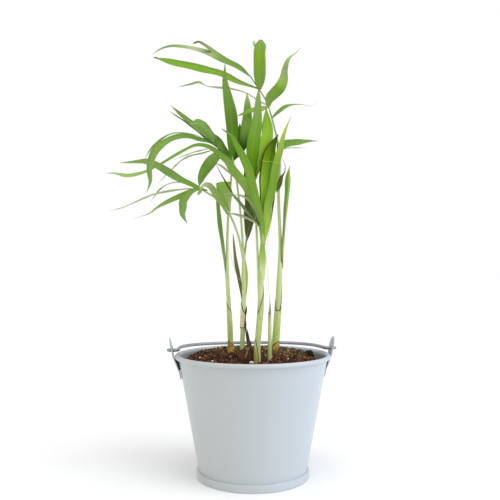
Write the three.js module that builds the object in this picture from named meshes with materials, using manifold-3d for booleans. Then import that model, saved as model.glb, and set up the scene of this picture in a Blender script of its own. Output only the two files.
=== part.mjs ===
// A clump of five young palm seedlings in a small painted tin pail. The pail has a rolled rim, a foot
// band, a pressed base, two flat ears and a wire bail that lies back over the rim. The seedlings stand
// in holes in a mound of potting soil. Millimetres, +Z up, origin at the middle of the pail's foot,
// the ears on the X axis.
import * as THREE from "three";
import { mergeVertices } from "three/addons/utils/BufferGeometryUtils.js";
import Module from "manifold-3d";

const wasm = await Module();
wasm.setup();

// The pail: sheet metal with its paint, rolled outwards over a wire at the rim.
const PAIL_HEIGHT = 81;
const RIM_RADIUS = 52.5;
const ROLL_RADIUS = 1.5;
const WALL_TOP_RADIUS = 50.1;
const WALL_FOOT_RADIUS = 36.3;
const FOOT_RADIUS = 37.7;
const FOOT_HEIGHT = 5;
const SHEET = 0.9;
const GAP = 0.3;
const ROUND_SIDES = 56;

// The ears, bent strips that leave the wall below the rim and stand up past it.
const EAR_WIDTH = 10;
const EAR_THICKNESS = 0.8;
const EAR_FOOT = 65;
const EAR_BEND = 69;
const EAR_SHOULDER = 86;
const EAR_TIP = 92;
const EAR_TIP_RADIUS = 55.8;

// The bail: one bent wire through both ears.
const WIRE_RADIUS = 1.2;
const HINGE_HEIGHT = 84;
const HINGE_HOLE = WIRE_RADIUS + 0.5;
const BAIL_END = 57.8;
const BAIL_NECK = 50.5;
const BAIL_DEPTH = 57;
const BAIL_CORNER = 12;
const BAIL_SQUARENESS = 0.8;
const BAIL_SAG = 2;

// The soil, heaped a little higher at the back, its shoulder falling away to the wall.
const SOIL_FLOOR = 4;
const SOIL_TOP = 78.5;
const SOIL_RADIUS = 45;
const SOIL_SHOULDER = 8;
const SOIL_TILT = 0.02;
const CLOD_HEIGHT = 0.6;
const SOIL_RINGS = [46.6, 45, 43, 40, 35.5, 30, 24.5, 19, 13, 6.5];
const SOIL_SECTORS = 44;
const HOLE_FLOOR = 68;
const HOLE_DEPTH = 30;

// How far the clump stands turned against the line of the ears, in degrees.
const CLUMP_TURN = -7;

// Blades and dry sheaths.
const BLADE_THICKNESS = 0.7;
const BLADE_STEP = 7;
const STALK_SIDES = 8;
const STALK_STEP = 12;
const SHEATH_THICKNESS = 0.7;
const SHEATH_TONGUE = 0.12;

// Usual outlines, as shares of a blade's width from its root to its tip.
const LEAF = [0.2, 0.6, 0.85, 1, 1, 0.9, 0.75, 0.5, 0.1];
const STRAP = [0.2, 0.5, 0.75, 0.95, 1, 0.95, 0.8, 0.5, 0.1];
const SPEAR = [0.2, 0.45, 0.65, 0.85, 1, 1, 0.9, 0.6, 0.1];

const COLOURS = {
  paint: { color: 0xc3d0da, roughness: 0.35, metalness: 0.1 },
  wire: { color: 0xb9bcc0, roughness: 0.35, metalness: 0.6 },
  soil: { color: 0x3b2415, roughness: 1, metalness: 0 },
  leaf: { color: 0x5d8a2c, roughness: 0.45, metalness: 0 },
  sheath: { color: 0x8a5f38, roughness: 0.8, metalness: 0 },
};

// ---- the seedlings ---------------------------------------------------------------------------
// A stalk is [x, y, z, radius] at points along it. A blade's rib runs through its points from the
// stalk to the tip. Its shape gives shares of the full width and its side the way that its width
// points, both evenly spaced from the root to the tip.
const SEEDLINGS = {
  left: {
    sheath: { from: 71, to: 84, turn: 250, wrap: 280 },
    stalks: [
      [[-15, 15, 70, 1.7], [-16, 15, 99, 1.7], [-18, 15, 136, 1.4], [-18, 15, 152, 1], [-17, 14, 183, 0.8],
        [-15, 12, 212, 0.7], [-17, 11, 218, 0.6], [-26, 9, 225, 0.5]],
    ],
    blades: {
      young: { width: 4.6, shape: SPEAR, fold: 0.5, side: [[5, 8, 0], [6, 7, 0]],
        rib: [[-18, 15, 132], [-20, 13, 148], [-23, 12, 173], [-25, 9, 196]] },
      top: { width: 6.8, shape: [0.4, 0.9, 1, 1, 1, 1, 0.9, 0.6, 0.1], side: [[5, 4, 7], [3, 8, 5]],
        rib: [[-14, 12, 212], [-25, 12, 228], [-32, 15, 234], [-45, 21, 245], [-60, 27, 258]] },
      top_low: { width: 5.5, side: [[2, 9, 3]],
        rib: [[-21, 11, 221], [-34, 19, 233], [-45, 24, 243], [-62, 30, 255]] },
      hook: { width: 6.6, shape: [0.3, 0.7, 0.9, 1, 1, 0.9, 0.5, 0.1],
        side: [[9, 3, 4], [4, 5, 6], [1, 6, 8]],
        rib: [[-23, 10, 223], [-30, 3, 233], [-36, -3, 238], [-43, -11, 235]] },
      arch: { width: 5.6, shape: [0.3, 0.7, 0.9, 0.9, 0.9, 1, 1, 0.8, 0.4, 0.1],
        side: [[2, 7, 7], [1, 7, 7], [-3, 5, 7], [-7, 4, 4], [-10, 2, 1]],
        rib: [[-25, 9, 224], [-37, 2, 228], [-51, -10, 227], [-63, -24, 215], [-66, -31, 201],
          [-67, -34, 186]] },
      arch_thin: { width: 5, shape: STRAP, side: [[0, 10, 2], [3, 10, 2]],
        rib: [[-25, 10, 224], [-40, 8, 232], [-55, 2, 232], [-67, -6, 222], [-72, -12, 212]] },
      thread: { width: 6, shape: STRAP, side: [[0, 10, 4], [3, 9, 4]],
        rib: [[-24, 10, 223], [-35, 15, 221], [-49, 20, 218], [-69, 24, 200]] },
      thread_up: { width: 5, shape: STRAP, side: [[0, 10, 3]],
        rib: [[-24, 10, 224], [-41, 21, 223], [-58, 28, 218]] },
      hanging: { width: 8, side: [[8, 4, -5], [9, 4, -3]],
        rib: [[-21, 10, 221], [-29, 6, 213], [-35, 3, 203], [-37, 2, 195]] },
      cross: { width: 5.4, shape: STRAP, side: [[6, 3, 7], [5, 3, 8]],
        rib: [[-15, 12, 211], [-17, 9, 217], [-21, 6, 223], [-25, 7, 229], [-32, 10, 235]] },
      short: { width: 3.2, side: [[3, 8, 6], [3, 8, 5]],
        rib: [[-15, 13, 205], [-21, 10, 210], [-26, 7, 212]] },
    },
  },
  middle: {
    sheath: { from: 71, to: 112, turn: -20, wrap: 290 },
    stalks: [
      [[-7, -10, 70, 1.6], [-7, -10, 88, 1.6], [-6, -10, 120, 1.7], [-6, -10, 134, 1.6], [-6, -10, 148, 1.1]],
      [[-6, -10, 143, 0.9], [-11, -11, 164, 0.7], [-20, -13, 181, 0.7], [-36, -14, 192, 0.5]],
      [[-6, -10, 143, 0.9], [-8, -6, 172, 0.7], [-11, -2, 198, 0.6], [-14, 0, 215, 0.6]],
      [[-6, -9, 143, 0.8], [-4, -7, 160, 0.5], [-3, -6, 166, 0.5]],
    ],
    blades: {
      spear: { width: 3, shape: [0.4, 0.6, 0.9, 1, 0.9, 0.7, 0.5, 0.4], fold: 0.4, side: [[8, 5, 2]],
        rib: [[-7, -11, 118], [-9, -12, 133], [-11, -13, 143], [-13, -14, 161]] },
      end: { width: 7, shape: STRAP, side: [[4, 6, 7], [2, 7, 7]],
        rib: [[-30, -14, 190], [-40, -14, 194], [-56, -11, 203], [-72, -8, 211], [-90, -5, 210]] },
      reach: { width: 4.8, shape: [0.3, 0.8, 1, 1, 0.8, 0.5, 0.2, 0.1], side: [[-3, 6, 7], [-3, 7, 7]],
        rib: [[-35, -14, 191], [-47, -20, 186], [-61, -30, 177], [-69, -37, 171], [-74, -39, 169]] },
      fine: { width: 5, shape: STRAP, side: [[0, 10, 4]],
        rib: [[-34, -14, 191], [-46, -7, 192], [-69, 5, 190], [-92, 15, 182], [-102, 19, 180]] },
      curl: { width: 5.6, shape: [0.3, 0.7, 0.9, 1, 1, 0.9, 0.5, 0.1],
        side: [[-5, 5, 7], [-9, 3, 3], [-10, 3, 0]],
        rib: [[-35, -14, 191], [-42, -22, 187], [-45, -27, 178], [-42, -29, 167]] },
      back: { width: 5, shape: STRAP, side: [[0, 10, 2], [3, 10, 2]],
        rib: [[-35, -14, 192], [-52, 1, 198], [-64, 9, 195], [-72, 14, 186]] },
      flag: { width: 5.6, shape: [0.4, 0.8, 1, 1, 0.9, 0.6, 0.4, 0.1],
        side: [[7, 3, 5], [5, 4, 6], [2, 7, 7]],
        rib: [[-16, -12, 174], [-23, -17, 186], [-28, -23, 192], [-34, -28, 189], [-35, -29, 185]] },
      folded: { width: 10, shape: [0.2, 0.4, 0.8, 1, 1, 1, 0.9, 0.6], side: [[10, 1, 1]],
        rib: [[-15, -12, 176], [-19, -10, 191], [-20, -6, 197], [-20, 0, 194]] },
      tiny: { width: 2.4, side: [[6, 6, 3]], rib: [[-34, -14, 191], [-36, -20, 186]] },
      tall: { width: 8.4, shape: [0.4, 0.7, 0.95, 1, 1, 0.85, 0.6, 0.35, 0.1], side: [[10, 1, 0], [10, 2, 0]],
        rib: [[-14, 0, 213], [-14, 0, 234], [-17, -2, 256], [-19, -4, 278]] },
      pale: { width: 8, side: [[10, -3, 0]],
        rib: [[-14, 0, 212], [-7, 2, 224], [-4, 5, 244], [-4, 6, 261]] },
      dark: { width: 7, side: [[10, 4, 0]],
        rib: [[-14, 0, 213], [-9, 8, 228], [-9, 12, 241]] },
      shade: { width: 8.6, shape: [0.1, 0.4, 0.8, 1, 1, 0.9, 0.7, 0.4, 0.1], side: [[10, 3, 0]],
        rib: [[-4, -6, 163], [-1, -4, 185], [-5, -3, 211]] },
    },
  },
  front: {
    sheath: { from: 71, to: 92, turn: 270, wrap: 220 },
    stalks: [
      [[3, -27, 70, 1.8], [3, -27, 90, 1.6], [5, -27, 116, 1.8], [5, -26, 131, 1.8], [6, -26, 153, 1.2],
        [6, -26, 166, 0.8]],
      [[4, -26, 115, 0.9], [3, -24, 146, 0.8], [2, -21, 170, 0.7], [1, -14, 201, 0.6]],
    ],
    blades: {
      broad_front: { width: 5.8, shape: [0.4, 0.7, 0.9, 1, 1, 1, 0.85, 0.5, 0.15],
        side: [[10, 2, 3], [8, 3, 5]],
        rib: [[6, -26, 154], [5, -27, 169], [1, -29, 186], [-6, -31, 209], [-13, -32, 222],
          [-20, -32, 227]] },
      long: { width: 7, shape: [0.3, 0.7, 0.95, 1, 0.8, 0.6, 0.55, 0.6, 0.6, 0.3, 0.1],
        side: [[5, 5, 7], [4, 5, 8], [2, 7, 7], [3, 7, 6]],
        rib: [[6, -26, 157], [2, -24, 176], [-9, -23, 198], [-22, -22, 213], [-33, -22, 219], [-45, -20, 216],
          [-60, -20, 207], [-74, -21, 201], [-95, -24, 200]] },
      silver_low: { width: 3.6, side: [[2, 8, 6], [0, 8, 6]],
        rib: [[6, -26, 163], [0, -30, 169], [-10, -35, 172], [-16, -38, 173]] },
      dark_thin: { width: 5, side: [[2, 10, 1]],
        rib: [[6, -26, 163], [-1, -28, 173], [-10, -30, 182], [-17, -30, 193], [-24, -32, 205]] },
      silver_mid: { width: 4.2, side: [[3, 8, 3], [2, 8, 6]],
        rib: [[6, -26, 164], [-4, -32, 175], [-14, -39, 185], [-19, -44, 183]] },
      silver_top: { width: 3.8, side: [[5, 7, 5], [2, 8, 6]],
        rib: [[6, -26, 164], [1, -32, 177], [-5, -36, 183], [-11, -40, 184]] },
      bright: { width: 5.8, shape: [0.5, 0.8, 1, 1, 1, 0.9, 0.7, 0.4, 0.1], side: [[10, 4, -2], [9, 4, -4]],
        rib: [[6, -26, 150], [9, -25, 168], [13, -23, 192], [18, -20, 216], [25, -18, 238]] },
      broad_back: { width: 10, shape: [0.2, 0.4, 0.6, 0.8, 1, 1, 0.9, 0.5, 0.1], side: [[10, 4, -1]],
        rib: [[6, -26, 159], [8, -22, 178], [10, -17, 201], [17, -11, 228]] },
      centre: { width: 8.6, side: [[10, 2, 0]],
        rib: [[1, -15, 199], [0, -14, 217], [3, -11, 238], [4, -9, 260]] },
      lime: { width: 9, shape: [0.3, 0.5, 0.75, 0.95, 1, 0.95, 0.6, 0.1], side: [[10, 5, 0]],
        rib: [[1, -15, 197], [7, -11, 218], [10, -7, 237], [9, -5, 248]] },
    },
  },
  slim: {
    sheath: { from: 71, to: 82, turn: 300, wrap: 220 },
    stalks: [
      [[11, -16, 70, 1.2], [11, -16, 88, 1], [11, -16, 113, 0.8], [11, -16, 118, 0.5], [9, -14, 149, 0.4],
        [12, -10, 170, 0.4]],
    ],
    blades: {
      only: { width: 4.5, shape: STRAP, side: [[3, 10, 0]],
        rib: [[12, -10, 168], [15, -7, 191], [17, -5, 214], [16, -4, 230]] },
    },
  },
  right: {
    sheath: { from: 71, to: 84, turn: 250, wrap: 260 },
    stalks: [
      [[14, 3, 70, 2.4], [16, 4, 93, 2.3], [18, 4, 125, 2.1], [19, 6, 153, 1.2], [18, 8, 191, 1],
        [19, 10, 218, 0.8], [15, 11, 239, 0.6], [10, 12, 256, 0.5], [5, 13, 265, 0.5], [-2, 14, 276, 0.4]],
    ],
    blades: {
      young: { width: 6.4, shape: SPEAR, fold: 0.5, side: [[5, 8, 0], [6, 8, 0]],
        rib: [[18, 5, 134], [22, 6, 161], [24, 7, 186], [26, 9, 210]] },
      low: { width: 9.4, shape: [0.3, 0.6, 0.9, 1, 1, 1, 0.9, 0.6, 0.1], side: [[0, 7, 7], [1, 7, 7]],
        rib: [[5, 13, 266], [-12, 11, 273], [-31, 6, 278], [-50, -4, 279], [-67, -12, 280]] },
      high: { width: 5.8, shape: [0.3, 0.8, 1, 1, 0.9, 0.8, 0.6, 0.5, 0.5, 0.1],
        side: [[2, 8, 6], [1, 6, 8]],
        rib: [[-2, 13, 275], [-22, 18, 289], [-41, 25, 299], [-60, 33, 303], [-76, 40, 300]] },
      end: { width: 6.8, shape: [0.3, 0.7, 1, 1, 0.9, 0.8, 0.6, 0.4, 0.3], side: [[3, 7, 6], [2, 7, 6]],
        rib: [[-2, 13, 275], [-18, 14, 289], [-33, 12, 297], [-38, 10, 299], [-42, 8, 297]] },
      upright: { width: 8.8, shape: [0.2, 0.7, 0.95, 1, 1, 1, 1, 0.9, 0.4], side: [[10, 0, 0], [10, 2, 0]],
        rib: [[5, 13, 264], [5, 9, 283], [4, 15, 300], [3, 18, 303]] },
      flame: { width: 8, shape: [0.4, 0.8, 1, 1, 0.9, 0.7, 0.5, 0.4, 0.2, 0.1, 0.1],
        side: [[8, 3, -5], [9, 3, -3], [10, 3, -1], [8, 4, -5]],
        rib: [[11, 12, 253], [15, 8, 261], [19, 7, 265], [23, 12, 280], [26, 16, 289], [35, 22, 299]] },
      tail: { width: 5.6, shape: [0.3, 0.8, 1, 0.8, 0.5, 0.3, 0.2, 0.1],
        side: [[-3, 6, 7], [0, 9, 4], [0, 10, 1]],
        rib: [[14, 11, 245], [22, 4, 250], [34, -4, 250], [40, -8, 248], [45, -10, 251]] },
      streamer: { width: 4.2, shape: [0.3, 0.3, 0.3, 0.4, 0.6, 0.9, 0.5, 0.3, 0.9, 0.7, 0.1],
        side: [[0, 10, 2], [0, 9, 4]],
        rib: [[11, 12, 254], [-4, 24, 266], [-28, 38, 275], [-42, 45, 281], [-57, 48, 278]] },
      between: { width: 4.4, shape: [0.3, 0.7, 1, 1, 0.9, 0.6, 0.1], side: [[1, 5, 8], [0, 3, 9]],
        rib: [[11, 12, 253], [6, 5, 250], [2, 0, 248], [-4, -1, 246], [-10, -1, 243]] },
      side: { width: 6.4, shape: [0.3, 0.9, 1, 0.95, 0.8, 0.6, 0.4, 0.2, 0.1], side: [[0, 5, 8]],
        rib: [[19, 10, 221], [30, 15, 228], [38, 20, 230], [48, 24, 231]] },
      side_thin: { width: 3.4, shape: STRAP, side: [[0, 10, 1]],
        rib: [[19, 10, 219], [22, 3, 221], [31, -6, 220], [36, -10, 219]] },
      droop: { width: 4, shape: [0.3, 0.25, 0.25, 0.25, 0.3, 0.6, 1, 1, 0.6, 0.1],
        side: [[1, 10, 0], [9, 3, 3]],
        rib: [[19, 10, 220], [22, 4, 209], [21, 2, 202], [16, -2, 189]] },
    },
  },
};

// ---- shaping helpers -------------------------------------------------------------------------

const vector = ([x, y, z]) => new THREE.Vector3(x, y, z);

function solid(geometry) {
  geometry.deleteAttribute("normal");
  geometry.deleteAttribute("uv");
  const merged = mergeVertices(geometry, 1e-4);
  return new wasm.Manifold(new wasm.Mesh({
    numProp: 3,
    vertProperties: new Float32Array(merged.attributes.position.array),
    triVerts: new Uint32Array(merged.index.array),
  }));
}

function geometryOf(body) {
  const { vertProperties, triVerts, numProp, numVert } = body.getMesh();
  const corners = new Float32Array(numVert * 3);
  for (let i = 0; i < numVert; i++)
    corners.set(vertProperties.subarray(i * numProp, i * numProp + 3), i * 3);
  return new THREE.BufferGeometry()
    .setAttribute("position", new THREE.BufferAttribute(corners, 3))
    .setIndex(new THREE.BufferAttribute(triVerts, 1));
}

function mesh(name, body, finish) {
  const made = new THREE.Mesh(geometryOf(body), new THREE.MeshStandardMaterial(COLOURS[finish]));
  made.name = name;
  return made;
}

// A closed body through rings of an even number of points. The first half of each ring is its upper
// face and the second half, taken backwards, its lower face, and both faces are split alike.
function loft(rings) {
  const count = rings[0].length;
  const half = count / 2;
  const corners = rings.flat().flatMap((p) => [p.x, p.y, p.z]);
  const faces = [];
  const quad = (a, b, c, d, flip) =>
    flip ? faces.push(a, b, d, b, c, d) : faces.push(a, b, c, a, c, d);
  for (let i = 0; i + 1 < rings.length; i++)
    for (let j = 0; j < count; j++) {
      const k = (j + 1) % count;
      const here = i * count;
      const next = here + count;
      quad(here + j, here + k, next + k, next + j, j >= half);
    }
  const last = (rings.length - 1) * count;
  for (let j = 0; j + 1 < half; j++) {
    const under = count - 1 - j;
    quad(j, under, under - 1, j + 1, false);
    quad(last + j, last + j + 1, last + under - 1, last + under, false);
  }
  const geometry = new THREE.BufferGeometry()
    .setAttribute("position", new THREE.BufferAttribute(new Float32Array(corners), 3))
    .setIndex(faces);
  return solid(geometry);
}

function lathe(profile, sides) {
  const turned = new THREE.LatheGeometry(profile.map(([r, z]) => new THREE.Vector2(r, z)), sides);
  return solid(turned.rotateX(Math.PI / 2));
}

// Radius of the wall's outside at a height.
function wallRadius(z) {
  const share = (z - FOOT_HEIGHT) / (PAIL_HEIGHT - 2 * ROLL_RADIUS - FOOT_HEIGHT);
  return THREE.MathUtils.lerp(WALL_FOOT_RADIUS, WALL_TOP_RADIUS, share);
}

// ---- the pail --------------------------------------------------------------------------------

function pailBody() {
  const rollCentre = [RIM_RADIUS - ROLL_RADIUS, PAIL_HEIGHT - ROLL_RADIUS];
  const roll = [];
  for (let degrees = -120; degrees <= 180; degrees += 30) {
    const a = THREE.MathUtils.degToRad(degrees);
    roll.push([rollCentre[0] + ROLL_RADIUS * Math.cos(a), rollCentre[1] + ROLL_RADIUS * Math.sin(a)]);
  }
  const underRoll = PAIL_HEIGHT - 2 * ROLL_RADIUS;
  return lathe([
    [wallRadius(0) - SHEET, 0],
    [FOOT_RADIUS - 0.4, 0],
    [FOOT_RADIUS, 0.4],
    [FOOT_RADIUS, FOOT_HEIGHT - 0.5],
    [FOOT_RADIUS - 0.5, FOOT_HEIGHT],
    [wallRadius(FOOT_HEIGHT), FOOT_HEIGHT],
    [wallRadius(underRoll - 0.4), underRoll - 0.4],
    ...roll,
    [wallRadius(underRoll) - SHEET, underRoll],
    [wallRadius(0) - SHEET, 0],
  ], ROUND_SIDES);
}

function pailBase() {
  const panel = 29;
  const step = 2.2;
  const edge = wallRadius(0) - SHEET - GAP;
  return lathe([
    [0, 0],
    [panel, 0],
    [panel + 1.5, step],
    [edge, step],
    [edge, step + SHEET],
    [panel + 1, step + SHEET],
    [panel - 0.5, SHEET],
    [0, SHEET],
  ], ROUND_SIDES);
}

// The strip's side view, pushed out across its width, and cut to its pointed outline with its hole.
function ear(side) {
  const pastRoll = RIM_RADIUS + GAP + 0.2;
  const face = [
    [wallRadius(EAR_FOOT) + GAP, EAR_FOOT],
    [wallRadius(EAR_BEND) + GAP, EAR_BEND],
    [pastRoll, PAIL_HEIGHT - ROLL_RADIUS],
    [pastRoll + 0.6, HINGE_HEIGHT - 1],
    [EAR_TIP_RADIUS, EAR_TIP + 1],
  ];
  const back = face.map(([x, z]) => [x + EAR_THICKNESS, z]).reverse();
  const strip = new THREE.Shape([...face, ...back].map(([x, z]) => new THREE.Vector2(x, z)));
  const width = new THREE.ExtrudeGeometry(strip, { depth: EAR_WIDTH, bevelEnabled: false });
  width.rotateX(Math.PI / 2).translate(0, EAR_WIDTH / 2, 0);

  const half = EAR_WIDTH / 2;
  const outline = new THREE.Shape();
  outline.moveTo(-half, EAR_FOOT - 1);
  outline.lineTo(half, EAR_FOOT - 1);
  outline.lineTo(half, EAR_SHOULDER);
  outline.quadraticCurveTo(half, EAR_TIP - 2, 0, EAR_TIP + 0.01);
  outline.quadraticCurveTo(-half, EAR_TIP - 2, -half, EAR_SHOULDER);
  outline.closePath();
  const hole = new THREE.Path();
  hole.absarc(0, HINGE_HEIGHT, HINGE_HOLE, 0, 2 * Math.PI, true);
  outline.holes.push(hole);
  const reach = 2 * RIM_RADIUS;
  const cutter = new THREE.ExtrudeGeometry(outline, { depth: reach, bevelEnabled: false, curveSegments: 5 });
  cutter.rotateX(Math.PI / 2).rotateZ(Math.PI / 2);

  const turned = new THREE.Matrix4().makeRotationZ(side > 0 ? 0 : Math.PI);
  return solid(geometryOf(solid(width).intersect(solid(cutter))).applyMatrix4(turned));
}

// The wire: a straight run through each ear, a tight bend, and a wide arch that lies back over the rim.
function bail() {
  const right = [[BAIL_END, 0], [BAIL_NECK + 1.5, 0], [BAIL_NECK, 1.5], [BAIL_NECK - 0.4, 8]];
  for (let degrees = 15; degrees < 90; degrees += 15) {
    const a = THREE.MathUtils.degToRad(degrees);
    right.push([
      (BAIL_NECK - 1) * Math.cos(a) ** BAIL_SQUARENESS,
      BAIL_CORNER + (BAIL_DEPTH - BAIL_CORNER) * Math.sin(a),
    ]);
  }
  const left = right.map(([x, y]) => [-x, y]).reverse();
  const middle = [...right, [0, BAIL_DEPTH], ...left]
    .map(([x, y]) => new THREE.Vector3(x, y, HINGE_HEIGHT - (BAIL_SAG * y) / BAIL_DEPTH));
  const path = new THREE.CatmullRomCurve3(middle, false, "centripetal");
  const section = new THREE.Shape().absarc(0, 0, WIRE_RADIUS, 0, 2 * Math.PI, false);
  return solid(new THREE.ExtrudeGeometry(section, { steps: 60, curveSegments: 4, extrudePath: path }));
}

// ---- the soil --------------------------------------------------------------------------------

// Small clods: crossed waves whose lengths don't divide each other.
function clods(x, y) {
  return Math.sin(x * 0.61 + 1.3 * Math.sin(y * 0.37)) * Math.cos(y * 0.53 + 0.9 * Math.sin(x * 0.29))
    + 0.5 * Math.sin(x * 1.13 - y * 0.87 + 2);
}

function soilHeight(x, y) {
  const beyond = Math.max(0, Math.hypot(x, y) - SOIL_RADIUS + 3);
  const shoulder = SOIL_SHOULDER * (1 - Math.exp(-((beyond / 3.5) ** 2)));
  return SOIL_TOP + SOIL_TILT * y + CLOD_HEIGHT * clods(x, y) - shoulder;
}

function soilRing(radius, height) {
  const ring = [];
  for (let i = 0; i < SOIL_SECTORS; i++) {
    const a = (i / SOIL_SECTORS) * 2 * Math.PI;
    const x = radius * Math.cos(a);
    const y = radius * Math.sin(a);
    ring.push(new THREE.Vector3(x, y, height ?? soilHeight(x, y)));
  }
  return ring;
}

// The filling between the base and the mound's top, with a hole for each seedling's foot.
function soil() {
  const edgeHeight = SOIL_TOP - SOIL_SHOULDER - 3;
  const rings = [
    soilRing(wallRadius(SOIL_FLOOR) - SHEET - GAP, SOIL_FLOOR),
    soilRing(wallRadius(edgeHeight) - SHEET - 2 * GAP, edgeHeight),
    ...SOIL_RINGS.map((radius) => soilRing(radius)),
  ];
  const corners = rings.flat().flatMap((p) => [p.x, p.y, p.z]);
  const bottom = corners.length / 3;
  const summit = bottom + 1;
  corners.push(0, 0, SOIL_FLOOR, 0, 0, soilHeight(0, 0));
  const inner = (rings.length - 1) * SOIL_SECTORS;
  const faces = [];
  for (let i = 0; i < SOIL_SECTORS; i++) {
    const k = (i + 1) % SOIL_SECTORS;
    for (let r = 0; r + 1 < rings.length; r++) {
      const a = r * SOIL_SECTORS;
      const b = a + SOIL_SECTORS;
      faces.push(a + i, a + k, b + k, a + i, b + k, b + i);
    }
    faces.push(bottom, k, i, summit, inner + i, inner + k);
  }
  const plug = solid(new THREE.BufferGeometry()
    .setAttribute("position", new THREE.BufferAttribute(new Float32Array(corners), 3))
    .setIndex(faces));
  const holes = Object.values(SEEDLINGS).map(({ stalks }) => {
    const [x, y, , stalkRadius] = stalks[0][0];
    const radius = stalkRadius + SHEATH_THICKNESS + 3 * GAP;
    const hole = new THREE.CylinderGeometry(radius, radius, HOLE_DEPTH, 12);
    return solid(hole.rotateX(Math.PI / 2).translate(x, y, HOLE_FLOOR + HOLE_DEPTH / 2));
  });
  return plug.subtract(wasm.Manifold.union(holes));
}

// ---- stalks, blades and sheaths --------------------------------------------------------------

// A round stalk with a ring of corners at each of its points and a few between them.
function stalk(points) {
  const curve = new THREE.CatmullRomCurve3(points.map(vector), false, "centripetal");
  const spans = points.length - 1;
  const rings = [];
  const addRing = (t, radius) => {
    const centre = curve.getPoint(t);
    const along = curve.getTangent(t);
    const across = new THREE.Vector3(0, 1, 0).addScaledVector(along, -along.y).normalize();
    const up = new THREE.Vector3().crossVectors(along, across);
    const ring = [];
    for (let j = 0; j < STALK_SIDES; j++) {
      const a = (j / STALK_SIDES) * 2 * Math.PI;
      ring.push(centre.clone()
        .addScaledVector(across, radius * Math.cos(a))
        .addScaledVector(up, radius * Math.sin(a)));
    }
    rings.push(ring);
  };
  for (let k = 0; k < spans; k++) {
    const steps = Math.ceil(vector(points[k]).distanceTo(vector(points[k + 1])) / STALK_STEP);
    for (let i = 0; i < steps; i++)
      addRing((k + i / steps) / spans, THREE.MathUtils.lerp(points[k][3], points[k + 1][3], i / steps));
  }
  addRing(1, points[spans][3]);
  return loft(rings);
}

// Where a share of the length falls among evenly spaced entries: the entry before it, the one after
// it and the share of the way between the two.
function among(entries, t) {
  const at = t * (entries.length - 1);
  const i = Math.min(Math.floor(at), Math.max(0, entries.length - 2));
  return [entries[i], entries[i + 1] ?? entries[i], at - i];
}

function blade({ width, shape = LEAF, fold = 0.12, side, rib }) {
  const curve = new THREE.CatmullRomCurve3(rib.map(vector), false, "centripetal");
  const steps = Math.max(6, Math.ceil(curve.getLength() / BLADE_STEP));
  const rings = [];
  for (let i = 0; i <= steps; i++) {
    const t = i / steps;
    const centre = curve.getPointAt(t);
    const along = curve.getTangentAt(t);
    const [from, to, turned] = among(side, t);
    const across = vector(from).normalize().lerp(vector(to).normalize(), turned);
    across.addScaledVector(along, -across.dot(along)).normalize();
    const up = new THREE.Vector3().crossVectors(along, across);
    const half = (width / 2) * THREE.MathUtils.lerp(...among(shape, t));
    const lift = half * fold;
    const place = (sideways, height) =>
      centre.clone().addScaledVector(across, sideways).addScaledVector(up, height);
    const top = [place(half, lift), place(0, 0), place(-half, lift)];
    const bottom = [
      place(-half, lift - BLADE_THICKNESS),
      place(0, -BLADE_THICKNESS),
      place(half, lift - BLADE_THICKNESS),
    ];
    rings.push([...top, ...bottom]);
  }
  return loft(rings);
}

// The middle and the radius of a stalk at a height near its foot.
function stalkAt(points, z) {
  const above = points.findIndex((p) => p[2] > z);
  const [low, high] = [points[above - 1], points[above]];
  const share = (z - low[2]) / (high[2] - low[2]);
  return low.map((value, i) => THREE.MathUtils.lerp(value, high[i], share));
}

// A dry sheath: a torn wrap round a stalk's foot, that narrows to a tongue at its top.
function sheathWrap({ from, to, turn, wrap }, points) {
  const steps = 6;
  const corners = 7;
  const inside = points[0][3] + 0.1 + GAP;
  const rings = [];
  for (let i = 0; i <= steps; i++) {
    const t = i / steps;
    const [x, y, z] = stalkAt(points, THREE.MathUtils.lerp(from, to, t));
    const share = THREE.MathUtils.lerp(SHEATH_TONGUE, 1, (1 - t) ** 1.5);
    const spread = THREE.MathUtils.degToRad(wrap * share);
    const arc = (radius, j) => {
      const a = THREE.MathUtils.degToRad(turn) + spread * (j / (corners - 1) - 0.5);
      return new THREE.Vector3(x + radius * Math.cos(a), y + radius * Math.sin(a), z);
    };
    const around = [...Array(corners).keys()];
    rings.push([
      ...around.map((j) => arc(inside + SHEATH_THICKNESS, j)),
      ...around.reverse().map((j) => arc(inside, j)),
    ]);
  }
  return loft(rings);
}

// ---- assembly --------------------------------------------------------------------------------

const plant = new THREE.Group();
plant.add(mesh("pail_body", pailBody(), "paint"));
plant.add(mesh("pail_base", pailBase(), "paint"));
plant.add(mesh("ear_right", ear(1), "paint"));
plant.add(mesh("ear_left", ear(-1), "paint"));
plant.add(mesh("bail_handle", bail(), "wire"));

const clump = new THREE.Group();
clump.rotation.z = THREE.MathUtils.degToRad(CLUMP_TURN);
clump.add(mesh("potting_soil", soil(), "soil"));
for (const [name, { sheath, stalks, blades }] of Object.entries(SEEDLINGS)) {
  const pieces = [...stalks.map(stalk), ...Object.values(blades).map(blade)];
  clump.add(mesh("seedling_" + name, wasm.Manifold.union(pieces), "leaf"));
  clump.add(mesh("dry_sheath_" + name, sheathWrap(sheath, stalks[0]), "sheath"));
}
plant.add(clump);

export default plant;
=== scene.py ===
import math
import random

import bmesh
import bpy
from mathutils import Matrix, Vector, noise


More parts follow.
